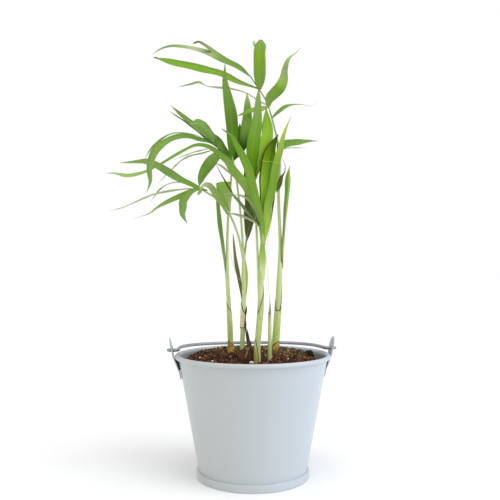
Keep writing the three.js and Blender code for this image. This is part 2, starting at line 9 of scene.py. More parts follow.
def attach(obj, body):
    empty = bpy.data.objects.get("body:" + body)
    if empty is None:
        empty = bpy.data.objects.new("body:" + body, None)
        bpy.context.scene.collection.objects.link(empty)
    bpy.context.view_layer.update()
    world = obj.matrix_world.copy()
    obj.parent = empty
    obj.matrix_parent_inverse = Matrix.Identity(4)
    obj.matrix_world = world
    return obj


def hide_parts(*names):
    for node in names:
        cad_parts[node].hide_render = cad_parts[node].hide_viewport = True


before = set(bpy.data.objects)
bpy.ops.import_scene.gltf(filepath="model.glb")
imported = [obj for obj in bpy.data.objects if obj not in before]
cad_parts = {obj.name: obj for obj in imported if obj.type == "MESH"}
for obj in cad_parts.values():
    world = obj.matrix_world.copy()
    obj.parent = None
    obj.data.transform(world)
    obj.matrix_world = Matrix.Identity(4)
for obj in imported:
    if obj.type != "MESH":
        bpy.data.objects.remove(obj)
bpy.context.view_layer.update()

# ---- Camera and studio -----------------------------------------------------------------------
# The camera stands in front of the pail and a little above its rim, turned 7 degrees against the line
# of the ears and tipped 2 degrees upwards. The studio is a white floor that runs out of sight under an
# even white sky, with a broad neutral lamp at the left and a stronger, cooler one at the right.

CAMERA_PLACE = (-0.05356, -0.4206, 0.135)
CAMERA_TIP = math.radians(90 + 2.1715)
CAMERA_TURN = math.radians(-7)
FOCAL_PIXELS = 622
IMAGE_PIXELS = 500
SENSOR = 36

camera = bpy.data.objects.new("camera", bpy.data.cameras.new("camera"))
camera.data.sensor_width = SENSOR
camera.data.lens = SENSOR * FOCAL_PIXELS / IMAGE_PIXELS
camera.data.clip_start = 0.01
camera.location = CAMERA_PLACE
camera.rotation_euler = (CAMERA_TIP, 0, CAMERA_TURN)
bpy.context.scene.collection.objects.link(camera)
bpy.context.scene.camera = camera
bpy.context.scene.view_settings.view_transform = "Standard"


def feed(tree, node, inputs):
    """A node's inputs by name or number: a socket is linked, anything else is set."""
    for key, value in inputs.items():
        if isinstance(value, bpy.types.NodeSocket):
            tree.links.new(value, node.inputs[key])
        else:
            node.inputs[key].default_value = value


def add(tree, kind, inputs=None, **settings):
    """A new node of a tree, with its settings made and its inputs fed."""
    made = tree.nodes.new(kind)
    for key, value in settings.items():
        setattr(made, key, value)
    feed(tree, made, inputs or {})
    return made


def new(tree, kind, inputs=None, **settings):
    """The first output of a new node."""
    return add(tree, kind, inputs, **settings).outputs[0]


def srgb(code):
    """The shader colour of a six-figure colour code."""
    parts = [int(code[i:i + 2], 16) / 255 for i in (0, 2, 4)]
    return (*[c / 12.92 if c <= 0.04045 else ((c + 0.055) / 1.055) ** 2.4 for c in parts], 1)


SKY_LIGHT = 0.72

world = bpy.data.worlds.new("studio")
world.use_nodes = True
sky = world.node_tree
sky.nodes.clear()
seen = add(sky, "ShaderNodeLightPath").outputs["Is Camera Ray"]
brightness = add(sky, "ShaderNodeMapRange", {"Value": seen, "To Min": SKY_LIGHT, "To Max": 1.0})
glow = add(sky, "ShaderNodeBackground", {"Color": (1, 1, 1, 1), "Strength": brightness.outputs[0]})
add(sky, "ShaderNodeOutputWorld", {"Surface": glow.outputs[0]})
bpy.context.scene.world = world


def lamp(name, azimuth, height, power, colour, spread):
    """A broad, far lamp that shines on the pot from an azimuth round it and a height, in degrees."""
    light = bpy.data.lights.new(name, "SUN")
    light.energy = power
    light.color = colour
    light.angle = math.radians(spread)
    holder = bpy.data.objects.new(name, light)
    holder.rotation_euler = (math.radians(90 - height), 0, math.radians(azimuth))
    bpy.context.scene.collection.objects.link(holder)


lamp("right_lamp", 55, 35, 1.1, (0.93, 0.97, 1.0), 50)
lamp("left_lamp", -60, 40, 0.35, (1.0, 0.99, 0.95), 70)
lamp("top_lamp", 10, 75, 0.6, (1.0, 1.0, 1.0), 40)

FLOOR_REACH = 12
FLOOR_SIDES = 64

sheet = bpy.data.meshes.new("floor")
rim = [(FLOOR_REACH * math.cos(a), FLOOR_REACH * math.sin(a), 0)
       for a in (i * math.tau / FLOOR_SIDES for i in range(FLOOR_SIDES))]
sheet.from_pydata(rim, [], [list(range(FLOOR_SIDES))])
floor = bpy.data.objects.new("floor", sheet)
bpy.context.scene.collection.objects.link(floor)
floor_paint = bpy.data.materials.new("white_floor")
floor_paint.use_nodes = True
floor_shader = floor_paint.node_tree.nodes["Principled BSDF"]
floor_shader.inputs["Base Color"].default_value = (0.93, 0.93, 0.93, 1)
floor_shader.inputs["Roughness"].default_value = 0.9
floor_shader.inputs["Specular IOR Level"].default_value = 0.1
sheet.materials.append(floor_paint)

# ---- Pail wall -------------------------------------------------------------------------------
# One sheet of tin rolled into a cone, its top edge curled outwards into a round rim and its foot
# pressed out into a narrow band. It is painted pale blue-white, satin, and is faintly wavy by hand.

MM = 0.001
PAIL_HEIGHT = 81
RIM_RADIUS = 52.5
ROLL_RADIUS = 1.5
UNDER_ROLL = PAIL_HEIGHT - 2 * ROLL_RADIUS
WALL_TOP_RADIUS = 50.1
WALL_FOOT_RADIUS = 36.3
FOOT_RADIUS = 37.7
FOOT_HEIGHT = 5
SHEET = 0.9
GAP = 0.3
WALL_SIDES = 180
WALL_RINGS = 18
WAVE = 0.12
WAVES_ROUND = 1.6
WAVE_LENGTH = 40
WAVE_FADE = 12


def wall_radius(z):
    """Radius of the wall's outside at a height, in millimetres."""
    share = (z - FOOT_HEIGHT) / (UNDER_ROLL - FOOT_HEIGHT)
    return WALL_FOOT_RADIUS + (WALL_TOP_RADIUS - WALL_FOOT_RADIUS) * share


def keep(mesh, name, slot, material, *nodes, body="pail"):
    """A finished piece of the model, on its body, with its material and the nodes it stands for."""
    piece = bpy.data.objects.new(name, mesh)
    mesh.name = name
    bpy.context.scene.collection.objects.link(piece)
    mesh.materials.clear()
    mesh.materials.append(material)
    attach(piece, body)
    if nodes:
        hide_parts(*nodes)


def quads(rows, count):
    """The faces of a closed net: rows of points, each row a ring, the last row joined to the first."""
    faces = []
    for r in range(rows):
        here, there = r * count, (r + 1) % rows * count
        faces += [(here + k, there + k, there + (k + 1) % count, here + (k + 1) % count)
                  for k in range(count)]
    return faces


def outward(work, crease):
    """A finished mesh: faces turned outwards, smooth, with sharp edges above an angle in degrees."""
    bmesh.ops.recalc_face_normals(work, faces=work.faces)
    mesh = bpy.data.meshes.new("piece")
    work.to_mesh(mesh)
    work.free()
    mesh.shade_smooth()
    mesh.set_sharp_from_angle(angle=math.radians(crease))
    return mesh


def turned(profile, sides, shift=lambda a, z: 0):
    """A closed profile of (radius, height) points turned round the pail's axis."""
    corners = []
    for i in range(sides):
        a = i * math.tau / sides
        for radius, z in profile:
            far = radius + shift(a, z)
            corners.append(Vector((far * math.cos(a), far * math.sin(a), z)) * MM)
    net = bpy.data.meshes.new("net")
    net.from_pydata(corners, [], quads(sides, len(profile)))
    work = bmesh.new()
    work.from_mesh(net)
    bmesh.ops.remove_doubles(work, verts=work.verts, dist=1e-7)
    bmesh.ops.dissolve_degenerate(work, edges=work.edges, dist=1e-8)
    return outward(work, 50)


def hand_waves(a, z):
    """How far the sheet stands out of true: nothing at the rim and the foot band."""
    if z < FOOT_HEIGHT + 1 or z > UNDER_ROLL - 1:
        return 0
    fade = min(1, (z - FOOT_HEIGHT) / WAVE_FADE, (UNDER_ROLL - z) / WAVE_FADE)
    place = Vector((WAVES_ROUND * math.cos(a), WAVES_ROUND * math.sin(a), z / WAVE_LENGTH))
    return WAVE * fade * noise.noise(place)


wall_heights = [FOOT_HEIGHT + 1 + i * (UNDER_ROLL - FOOT_HEIGHT - 1.4) / WALL_RINGS
                for i in range(WALL_RINGS + 1)]
roll_middle = (RIM_RADIUS - ROLL_RADIUS, PAIL_HEIGHT - ROLL_RADIUS)
rolled_rim = [(roll_middle[0] + ROLL_RADIUS * math.cos(math.radians(d)),
               roll_middle[1] + ROLL_RADIUS * math.sin(math.radians(d))) for d in range(-120, 181, 12)]
foot_band = [(FOOT_RADIUS - 0.35, 0), (FOOT_RADIUS - 0.1, 0.1), (FOOT_RADIUS, 0.35),
             (FOOT_RADIUS, 1.2), (FOOT_RADIUS - 0.02, 2.5), (FOOT_RADIUS, FOOT_HEIGHT - 0.7),
             (FOOT_RADIUS - 0.12, FOOT_HEIGHT - 0.3), (FOOT_RADIUS - 0.5, FOOT_HEIGHT - 0.05),
             (wall_radius(FOOT_HEIGHT) + 0.1, FOOT_HEIGHT + 0.05)]
inside = [(wall_radius(z) - SHEET, z) for z in reversed(wall_heights)]
wall = turned([(wall_radius(0) - SHEET, 0), *foot_band, *[(wall_radius(z), z) for z in wall_heights],
               *rolled_rim, (wall_radius(UNDER_ROLL) - SHEET, UNDER_ROLL), *inside],
              WALL_SIDES, hand_waves)
inner_face = wall.attributes.new("inner_face", "FLOAT", "POINT")
for corner, mark in zip(wall.vertices, inner_face.data):
    place = corner.co / MM
    mark.value = float(place.xy.length < wall_radius(place.z) - SHEET / 2 and place.z < UNDER_ROLL + 0.2)


def new_finish(name):
    """A new material: its tree, its surface shader and the place in the piece's own space."""
    made = bpy.data.materials.new(name)
    made.use_nodes = True
    place = add(made.node_tree, "ShaderNodeTexCoord").outputs["Object"]
    return made, made.node_tree, made.node_tree.nodes["Principled BSDF"], place


def stored(tree, name, output="Fac"):
    """A value or a colour that the piece's mesh stores."""
    return add(tree, "ShaderNodeAttribute", attribute_name=name).outputs[output]


def cloud(tree, place, scale, detail=2.0, roughness=0.5, stretch=None):
    """Soft noise from 0 to 1, stretched along the axes if asked."""
    if stretch:
        place = new(tree, "ShaderNodeVectorMath", {0: place, 1: stretch}, operation="MULTIPLY")
    return new(tree, "ShaderNodeTexNoise",
               {"Vector": place, "Scale": scale, "Detail": detail, "Roughness": roughness})


def ramp(tree, value, low, high, to_low=0.0, to_high=1.0):
    """A smooth step of a value between two levels."""
    return new(tree, "ShaderNodeMapRange", {"Value": value, "From Min": low, "From Max": high,
               "To Min": to_low, "To Max": to_high}, interpolation_type="SMOOTHSTEP")


def blend(tree, share, under, over, how="MIX"):
    """One colour laid over another by a share."""
    return add(tree, "ShaderNodeMix", {0: share, 6: under, 7: over}, data_type="RGBA",
               blend_type=how).outputs[2]


def tint(tree, colour, by):
    """A colour multiplied by another."""
    return blend(tree, 1.0, colour, (*by, 1) if isinstance(by, tuple) else by, "MULTIPLY")


def sums(tree, what, first, second=0.0):
    """One step of arithmetic on one or two values."""
    return new(tree, "ShaderNodeMath", {0: first, 1: second}, operation=what)


def times(tree, first, second, plus=0.0):
    """Two values multiplied, and a third added."""
    return new(tree, "ShaderNodeMath", {0: first, 1: second, 2: plus}, operation="MULTIPLY_ADD")


def dress(tree, shader, colour, rough, height, distance, strength):
    """The surface's colour, its roughness, and small relief from a height between 0 and 1."""
    bump = new(tree, "ShaderNodeBump", {"Height": height, "Distance": distance, "Strength": strength})
    feed(tree, shader, {"Base Color": colour, "Roughness": rough, "Normal": bump})


def pail_paint(name, warm, cool):
    """Satin paint, neutral at the left and cooler at the right as a painted reflection; painted shade and
    dust on the inner face.
    """
    made, tree, shader, place = new_finish(name)
    across, depth, height = add(tree, "ShaderNodeSeparateXYZ", {0: place}).outputs
    # Painted reflection: the paint drifts from neutral grey at the left to a cooler blue at the right,
    # standing in for cool light reflected in the satin.
    side = times(tree, cloud(tree, place, 16, 3, 0.55, (1, 1, 0.35)), 0.02, across)
    colour = blend(tree, ramp(tree, side, -0.015, 0.06), srgb(warm), srgb(cool))
    speckle = cloud(tree, place, 900, 3, 0.6)
    grime = times(tree, ramp(tree, height, 0.001, 0.014, 0.25, 0), ramp(tree, speckle, 0.45, 0.75))
    colour = blend(tree, grime, colour, srgb("8f9693"))
    scuff = ramp(tree, cloud(tree, place, 55, 6, 0.7, (1, 1, 3)), 0.66, 0.74, 0, 0.15)
    colour = blend(tree, scuff, colour, srgb("d6dce0"))
    inner = stored(tree, "inner_face")
    # Painted shade on the inner face: barely darker at the left, much darker and browner at the right, where
    # it is also a painted reflection of the soil, and darkest at the back.
    dull = blend(tree, ramp(tree, across, -0.035, 0.04), (0.9, 0.89, 1.05, 1), (0.45, 0.41, 0.35, 1))
    dull = blend(tree, ramp(tree, depth, 0.0, 0.045), dull, (0.36, 0.39, 0.43, 1))
    colour = blend(tree, inner, colour, tint(tree, colour, dull))
    dust = times(tree, speckle, 0.004, sums(tree, "SUBTRACT", height, 0.002))
    dust = times(tree, inner, ramp(tree, dust, 0.0695, 0.0745, 0.75, 0))
    colour = blend(tree, dust, colour, srgb("4c3d2c"))
    rough = ramp(tree, cloud(tree, place, 40, 4), 0.3, 0.7, 0.3, 0.42)
    dress(tree, shader, colour, rough, cloud(tree, place, 420, 3, 0.55), 0.00012, 0.35)
    shader.inputs["Coat Weight"].default_value = 0.25
    shader.inputs["Coat Roughness"].default_value = 0.2
    return made


painted_tin = pail_paint("painted_tin", "b8bdbd", "c0cad6")
keep(wall, "pail_wall", "painted_tin", painted_tin, "pail_body")

# ---- Pail base -------------------------------------------------------------------------------
# A pressed disc that closes the foot. Its edge sits up inside the foot band, a step brings its middle
# panel down level with the band, and a shallow ring stiffens the panel. It has the pail's paint.

BASE_PANEL = 29
BASE_STEP = 2.2
BASE_EDGE = wall_radius(0) - SHEET - GAP
bead = [(18.6, 0), (18.9, 0.12), (19.4, 0.42), (20, 0.5), (20.6, 0.42), (21.1, 0.12), (21.4, 0)]
under = [(0, 0), *bead, (BASE_PANEL - 0.6, 0), (BASE_PANEL - 0.1, 0.08), (BASE_PANEL + 0.25, 0.35),
         (BASE_PANEL + 1.2, BASE_STEP - 0.25), (BASE_PANEL + 1.6, BASE_STEP), (BASE_EDGE, BASE_STEP)]
over = [(BASE_EDGE, BASE_STEP + SHEET), (BASE_PANEL + 1.1, BASE_STEP + SHEET),
        (BASE_PANEL + 0.6, BASE_STEP + SHEET - 0.3), (BASE_PANEL - 0.5, SHEET), (0, SHEET)]
keep(turned(under + over, 120), "pail_base_disc", "painted_tin", painted_tin, "pail_base")

# ---- Ears ------------------------------------------------------------------------------------
# Two painted strips of the same sheet, soldered to the wall below the rim. Each leans out past the
# rolled edge and ends in a rounded point, with a punched hole for the wire. The left one is bent.

EAR_HALF_WIDTH = 5
EAR_THICKNESS = 0.8
EAR_FOOT = 65
EAR_BEND = 69
EAR_SHOULDER = 86
EAR_TIP = 92
HINGE_HEIGHT = 84
HINGE_HOLE = 1.7
HOLE_SIDES = 28
PAST_ROLL = RIM_RADIUS + GAP + 0.2
EAR_EDGE = 0.12
ARCH_STEPS = 12
EAR_TWIST = {1: 0, -1: math.radians(4)}
TWIST_RISE = 4
WEDGE_FOOT = 71
WEDGE_TOP = 77.6
WEDGE_HALF_WIDTH = 4.7
WEDGE_CLEAR = 0.05
ear_line = [(EAR_FOOT, wall_radius(EAR_FOOT) + GAP), (EAR_BEND, wall_radius(EAR_BEND) + GAP),
            (PAIL_HEIGHT - ROLL_RADIUS, PAST_ROLL), (HINGE_HEIGHT - 1, PAST_ROLL + 0.6), (EAR_TIP + 1, 55.8)]


def ear_face(z):
    """How far out an ear's inner face stands at a height."""
    for (low, near), (high, far) in zip(ear_line, ear_line[1:]):
        if z <= high:
            return near + (far - near) * max(0, (z - low) / (high - low))
    return ear_line[-1][1]


def plain_mesh(data, tree=None, **values):
    """The plain mesh of a curve, or of a mesh that a tree works on. Values go by the inputs' names."""
    holder = bpy.data.objects.new("holder", data)
    bpy.context.scene.collection.objects.link(holder)
    if tree:
        modifier = holder.modifiers.new("tree", "NODES")
        modifier.node_group = tree
        for item in tree.interface.items_tree:
            if item.in_out == "INPUT" and item.name in values:
                modifier[item.identifier] = values[item.name]
    result = bpy.data.meshes.new_from_object(
        holder.evaluated_get(bpy.context.evaluated_depsgraph_get()))
    bpy.data.objects.remove(holder)
    return result


def ear_plate(side):
    """An ear with its hole, cut flat as a curve with fine edges, then bent along its line."""
    outline = bpy.data.curves.new("ear", "CURVE")
    outline.dimensions = "2D"
    outline.fill_mode = "BOTH"
    outline.extrude = EAR_THICKNESS / 2 - EAR_EDGE
    outline.bevel_depth = EAR_EDGE
    outline.offset = -EAR_EDGE
    outline.bevel_resolution = 2
    half = EAR_HALF_WIDTH
    arch = []
    for i in range(ARCH_STEPS + 1):
        t = i / ARCH_STEPS
        arch.append(((1 - t) ** 2 * half + 2 * t * (1 - t) * half,
                     (1 - t) ** 2 * EAR_SHOULDER + 2 * t * (1 - t) * (EAR_TIP - 2) + t * t * EAR_TIP))
    edge = [(-half + 1, EAR_FOOT), (half - 1, EAR_FOOT), (half - 0.3, EAR_FOOT + 0.3),
            (half, EAR_FOOT + 1), *arch, *[(-y, z) for y, z in reversed(arch[:-1])],
            (-half, EAR_FOOT + 1), (-half + 0.3, EAR_FOOT + 0.3)]
    hole = [(HINGE_HOLE * math.cos(a), HINGE_HEIGHT + HINGE_HOLE * math.sin(a))
            for a in (i * math.tau / HOLE_SIDES for i in range(HOLE_SIDES))]
    for points in (edge, hole):
        spline = outline.splines.new("POLY")
        spline.points.add(len(points) - 1)
        for corner, (y, z) in zip(spline.points, points):
            corner.co = (y, z, 0, 1)
        spline.use_cyclic_u = True
    work = bmesh.new()
    work.from_mesh(plain_mesh(outline))
    bmesh.ops.remove_doubles(work, verts=work.verts, dist=1e-5)
    for z in range(EAR_FOOT + 1, EAR_TIP):
        parts = [*work.verts, *work.edges, *work.faces]
        bmesh.ops.bisect_plane(work, geom=parts, plane_co=(0, z, 0), plane_no=(0, 1, 0))
    for corner in work.verts:
        y, z, through = corner.co
        twist = EAR_TWIST[side] * min(1, max(0, (z - UNDER_ROLL) / TWIST_RISE))
        reach = ear_face(z) + EAR_THICKNESS / 2 + through * math.cos(twist) + y * math.sin(twist)
        along = y * math.cos(twist) - through * math.sin(twist)
        corner.co = Vector((side * reach, side * along, z)) * MM
    return outward(work, 40)


def ear_gap_shadow(side):
    """A dark block painted as the shadow in the wedge that an ear leaves as it leans out from the wall."""
    work = bmesh.new()
    rings = []
    for i in range(ARCH_STEPS + 1):
        z = WEDGE_FOOT + (WEDGE_TOP - WEDGE_FOOT) * i / ARCH_STEPS
        near, far = wall_radius(z) + WEDGE_CLEAR, ear_face(z) - WEDGE_CLEAR
        width = WEDGE_HALF_WIDTH * math.sin(math.radians(30 + 60 * i / ARCH_STEPS))
        rings.append([work.verts.new(Vector((side * x, y, z)) * MM)
                      for x, y in ((near, -width), (far, -width), (far, width), (near, width))])
    for one, two in zip(rings, rings[1:]):
        for k in range(4):
            work.faces.new([one[k], one[(k + 1) % 4], two[(k + 1) % 4], two[k]])
    work.faces.new(rings[0])
    work.faces.new(rings[-1])
    return outward(work, 0)


def two_tone(name, scale, detail, dark, light, span, rough, height, strength):
    """A dull finish in two tones by fine noise."""
    made, tree, shader, place = new_finish(name)
    grain = cloud(tree, place, scale, detail, 0.6)
    colour = blend(tree, ramp(tree, grain, *span), srgb(dark), srgb(light))
    dress(tree, shader, colour, rough, grain, height, strength)
    return made


# The ears take a darker, greyer copy of the pail's paint: painted shade.
shaded_ear_paint = pail_paint("shaded_ear_paint", "a4abad", "a8afb3")
# Painted shadow: a near-black block fills the gap between each ear and the wall below the rim.
gap_shadow_paint = two_tone("painted_gap_shadow", 700, 4, "0c0e16", "1c202c", (0.35, 0.65), 0.7, 0.0002, 0.5)
for side, where in ((1, "right"), (-1, "left")):
    keep(ear_plate(side), "ear_plate_" + where, "painted_tin", shaded_ear_paint, "ear_" + where)
    keep(ear_gap_shadow(side), "ear_gap_shadow_" + where, "painted_tin", gap_shadow_paint)

# ---- Bail ------------------------------------------------------------------------------------
# One length of drawn wire, dull grey with fine lines along it. A straight run goes through each ear,
# a tight bend turns it back, and the wide arch lies over the rear rim. It swings in the ears' holes.

WIRE_RADIUS = 1.2
BAIL_END = 57.8
BAIL_NECK = 50.5
BAIL_DEPTH = 57
BAIL_SAG = 2
BAIL_CORNER = 12
END_REACH = 0.57
END_SHARE = 0.7
CURVE_SAMPLES = 24
ROUND_SIDES = 16


def tree_of(name, inputs):
    """An empty Geometry Nodes tree with one geometry in, one out, and named inputs."""
    tree = bpy.data.node_groups.new(name, "GeometryNodeTree")
    tree.interface.new_socket("Geometry", in_out="OUTPUT", socket_type="NodeSocketGeometry")
    for title, kind, default in [("Geometry", "Geometry", None), *inputs]:
        socket = tree.interface.new_socket(title, in_out="INPUT", socket_type="NodeSocket" + kind)
        if default is not None:
            socket.default_value = default
    return tree, add(tree, "NodeGroupInput").outputs


def close_tree(tree, geometry, material, smooth=False):
    """The tree's end: instances realized, the material set, the geometry given out."""
    if smooth:
        geometry = new(tree, "GeometryNodeSetShadeSmooth", {"Geometry": geometry})
    real = new(tree, "GeometryNodeRealizeInstances", {"Geometry": geometry})
    painted = new(tree, "GeometryNodeSetMaterial", {"Geometry": real, "Material": material})
    add(tree, "NodeGroupOutput", {"Geometry": painted})


def store(tree, geometry, name, value, domain="POINT"):
    """The geometry with a value stored on it."""
    return new(tree, "GeometryNodeStoreNamedAttribute", {"Geometry": geometry, "Name": name, "Value": value},
               data_type="FLOAT", domain=domain)


def vectors(tree, what, first, second=(0, 0, 0)):
    """One step of arithmetic on vectors, or on a vector and a number that scales it."""
    inputs = {0: first, "Scale" if what == "SCALE" else 1: second}
    return new(tree, "ShaderNodeVectorMath", inputs, operation=what)


def read(tree, name, kind="FLOAT"):
    """A value that is stored on the points."""
    return new(tree, "GeometryNodeInputNamedAttribute", {"Name": name}, data_type=kind)


def round_tree():
    """Sweeps a round section along lines whose points store a radius."""
    tree, given = tree_of("round_sweep", [("Sides", "Int", 12), ("Material", "Material", None)])
    line = new(tree, "GeometryNodeMeshToCurve", {"Mesh": given["Geometry"]})
    section = new(tree, "GeometryNodeCurvePrimitiveCircle", {"Resolution": given["Sides"], "Radius": 1.0})
    around = sums(tree, "DIVIDE", new(tree, "GeometryNodeInputIndex"), given["Sides"])
    tube = new(tree, "GeometryNodeCurveToMesh", {
        "Curve": line, "Profile Curve": store(tree, section, "lane", around),
        "Scale": read(tree, "radius"), "Fill Caps": True})
    close_tree(tree, tube, given["Material"], smooth=True)
    return tree


def smooth_line(points, step):
    """Points about a step apart on one smooth curve through the given ones."""
    ends = [2 * points[0] - points[1], *points, 2 * points[-1] - points[-2]]
    dense = []
    for a, b, c, d in zip(ends, ends[1:], ends[2:], ends[3:]):
        before, along, after = [max((q - p).length, 1e-6) ** 0.5 for p, q in ((a, b), (b, c), (c, d))]
        leave = ((b - a) / before - (c - a) / (before + along) + (c - b) / along) * along
        reach = ((c - b) / along - (d - b) / (along + after) + (d - c) / after) * along
        for i in range(CURVE_SAMPLES):
            s = i / CURVE_SAMPLES
            dense.append((2 * s ** 3 - 3 * s ** 2 + 1) * b + (s ** 3 - 2 * s ** 2 + s) * leave
                         + (3 * s ** 2 - 2 * s ** 3) * c + (s ** 3 - s ** 2) * reach)
    dense.append(points[-1])
    run = [0]
    for p, q in zip(dense, dense[1:]):
        run.append(run[-1] + (q - p).length)
    count = max(4, round(run[-1] / step))
    line, k = [], 0
    for i in range(count + 1):
        want = run[-1] * i / count
        while k < len(run) - 2 and run[k + 1] < want:
            k += 1
        share = (want - run[k]) / max(run[k + 1] - run[k], 1e-9)
        line.append(dense[k].lerp(dense[k + 1], share))
    return line


def lines_mesh(lines, stores):
    """Separate lines of points, each point a tuple of its place and its stored values in order."""
    points = [point for line in lines for point in line]
    edges, first = [], 0
    for line in lines:
        edges += [(first + i, first + i + 1) for i in range(len(line) - 1)]
        first += len(line)
    mesh = bpy.data.meshes.new("lines")
    mesh.from_pydata([p[0] for p in points], edges, [])
    for k, (name, kind) in enumerate(stores.items()):
        field = {"FLOAT": "value", "FLOAT_VECTOR": "vector", "FLOAT_COLOR": "color"}[kind]
        values = [v for p in points for v in (p[k + 1] if kind != "FLOAT" else [p[k + 1]])]
        mesh.attributes.new(name, kind, "POINT").data.foreach_set(field, values)
    return mesh


def drawn_wire():
    """Grey wire in two tones, with painted shade along its underside, which slopes with the arch at rest."""
    made, tree, shader, place = new_finish("bail_wire")
    lines = cloud(tree, place, 300, 3, 0.6, (1, 1, 6))
    colour = blend(tree, ramp(tree, lines, 0.3, 0.7), srgb("94969c"), srgb("b2b3ba"))
    dull = ramp(tree, cloud(tree, place, 90, 4), 0.55, 0.75, 0, 0.4)
    colour = blend(tree, dull, colour, srgb("77797b"))
    _, depth, height = add(tree, "ShaderNodeSeparateXYZ", {0: place}).outputs
    # Painted shade: the wire darkens below a level that slopes with the arch.
    level = times(tree, depth, BAIL_SAG / BAIL_DEPTH, height)
    underside_shade = ramp(tree, level, (HINGE_HEIGHT - 0.9) * MM, (HINGE_HEIGHT - 0.1) * MM, 1, 0)
    colour = blend(tree, underside_shade, colour, tint(tree, colour, (0.34, 0.35, 0.38)))
    dress(tree, shader, colour, ramp(tree, lines, 0.3, 0.7, 0.34, 0.5), lines, 0.0001, 0.3)
    shader.inputs["Metallic"].default_value = 0.35
    return made


arch = [(BAIL_END - 0.6, 0), (BAIL_NECK + 1.5, 0), (BAIL_NECK, 1.5), (BAIL_NECK - 0.4, 8)]
for degrees in range(15, 90, 15):
    a = math.radians(degrees)
    arch.append(((BAIL_NECK - 1) * math.cos(a) ** 0.8,
                 BAIL_CORNER + (BAIL_DEPTH - BAIL_CORNER) * math.sin(a)))
bail_path = [*arch, (0, BAIL_DEPTH), *[(-x, y) for x, y in reversed(arch)]]
bail_line = smooth_line([Vector((x, y, HINGE_HEIGHT - BAIL_SAG * y / BAIL_DEPTH))
                         for x, y in bail_path], 1.2)
bail_points = [(point * MM, WIRE_RADIUS * MM * (1 if 0 < i < len(bail_line) - 1 else END_SHARE))
               for i, point in enumerate(bail_line)]
for end, sign in ((0, 1), (-1, -1)):
    tip, radius = bail_points[end]
    bail_points[end] = (tip + Vector((sign * END_REACH * MM, 0, 0)), radius)
round_sweep = round_tree()
bail_wire = drawn_wire()
bail_mesh = plain_mesh(lines_mesh([bail_points], {"radius": "FLOAT"}), round_sweep,
                       Sides=ROUND_SIDES, Material=bail_wire)
keep(bail_mesh, "bail_wire", "bail_wire", bail_wire, "bail_handle", body="bail")

# ---- Potting soil ----------------------------------------------------------------------------
# A mound of dark peat and bark crumbs, heaped a little higher at the back, its shoulder falling away
# from the wall. Loose crumbs, short fibres and a few pale grains of perlite lie on it.

SOIL_FLOOR = 4
SOIL_TOP = 78.5
SOIL_RADIUS = 45
SOIL_SHOULDER = 8
SHOULDER_LEAD = 3
SHOULDER_FALL = 3.5
SOIL_TILT = 0.02
SOIL_RIGHT = 1.07
SOIL_SECTORS = 150
SOIL_RINGS = 77
RING_STEP = 0.6
SOIL_EDGE = 46.6
SOIL_BRINK = (47.2, 66.5)
CLOD_HEIGHT = 0.6
CRUMBLE = 0.5
BACK_HEAP = 1.5
HEAP_FROM = 2
HEAP_SLOPE = 26
CLUMP_TURN = Matrix.Rotation(CAMERA_TURN, 3, "Z")


def soil_height(x, y):
    """Height of the mound's clods, in millimetres, with the shoulder nearer at the right."""
    clods = (math.sin(x * 0.61 + 1.3 * math.sin(y * 0.37)) * math.cos(y * 0.53 + 0.9 * math.sin(x * 0.29))
             + 0.5 * math.sin(x * 1.13 - y * 0.87 + 2))
    beyond = max(0, math.hypot(x * (SOIL_RIGHT if x > 0 else 1), y) - SOIL_RADIUS + SHOULDER_LEAD)
    shoulder = SOIL_SHOULDER * (1 - math.exp(-((beyond / SHOULDER_FALL) ** 2)))
    return SOIL_TOP + SOIL_TILT * y + CLOD_HEIGHT * clods - shoulder


def crumbled(x, y):
    """The same mound with the fine crumbs' own ups and downs."""
    fine = noise.fractal(Vector((x, y, 0)) * 0.45, 0.7, 2.1, 4)
    behind = min(1, max(0, (y - HEAP_FROM) / HEAP_SLOPE))
    return soil_height(x, y) + CRUMBLE * fine + BACK_HEAP * behind * behind * (3 - 2 * behind)


def soil_mesh(top_only):
    """The mound down to the base, or only its top, as rings of points round the middle."""
    rings = [] if top_only else [(BASE_EDGE + 0.5, SOIL_FLOOR), SOIL_BRINK]
    rings += [(SOIL_EDGE - RING_STEP * i, None) for i in range(SOIL_RINGS)]
    verts, faces = [], []
    for radius, height in rings:
        for i in range(SOIL_SECTORS):
            a = i * math.tau / SOIL_SECTORS
            x, y = radius * math.cos(a), radius * math.sin(a)
            z = crumbled(x, y) if height is None else height
            verts.append(CLUMP_TURN @ Vector((x, y, z)) * MM)
    for r in range(len(rings) - 1):
        for i in range(SOIL_SECTORS):
            k = (i + 1) % SOIL_SECTORS
            here, there = r * SOIL_SECTORS, (r + 1) * SOIL_SECTORS
            faces.append((here + i, here + k, there + k, there + i))
    last = (len(rings) - 1) * SOIL_SECTORS
    verts.append(Vector((0, 0, crumbled(0, 0))) * MM)
    faces += [(last + i, last + (i + 1) % SOIL_SECTORS, len(verts) - 1) for i in range(SOIL_SECTORS)]
    if not top_only:
        verts.append(Vector((0, 0, SOIL_FLOOR)) * MM)
        faces += [((i + 1) % SOIL_SECTORS, i, len(verts) - 1) for i in range(SOIL_SECTORS)]
    mesh = bpy.data.meshes.new("soil")
    mesh.from_pydata(verts, [], faces)
    mesh.shade_smooth()
    return mesh


# The middle of the painted shade on the soil between the stalk bases, in metres.
STALK_BASE_SHADE_SPOT = (-0.0039, -0.0197, 0.078)


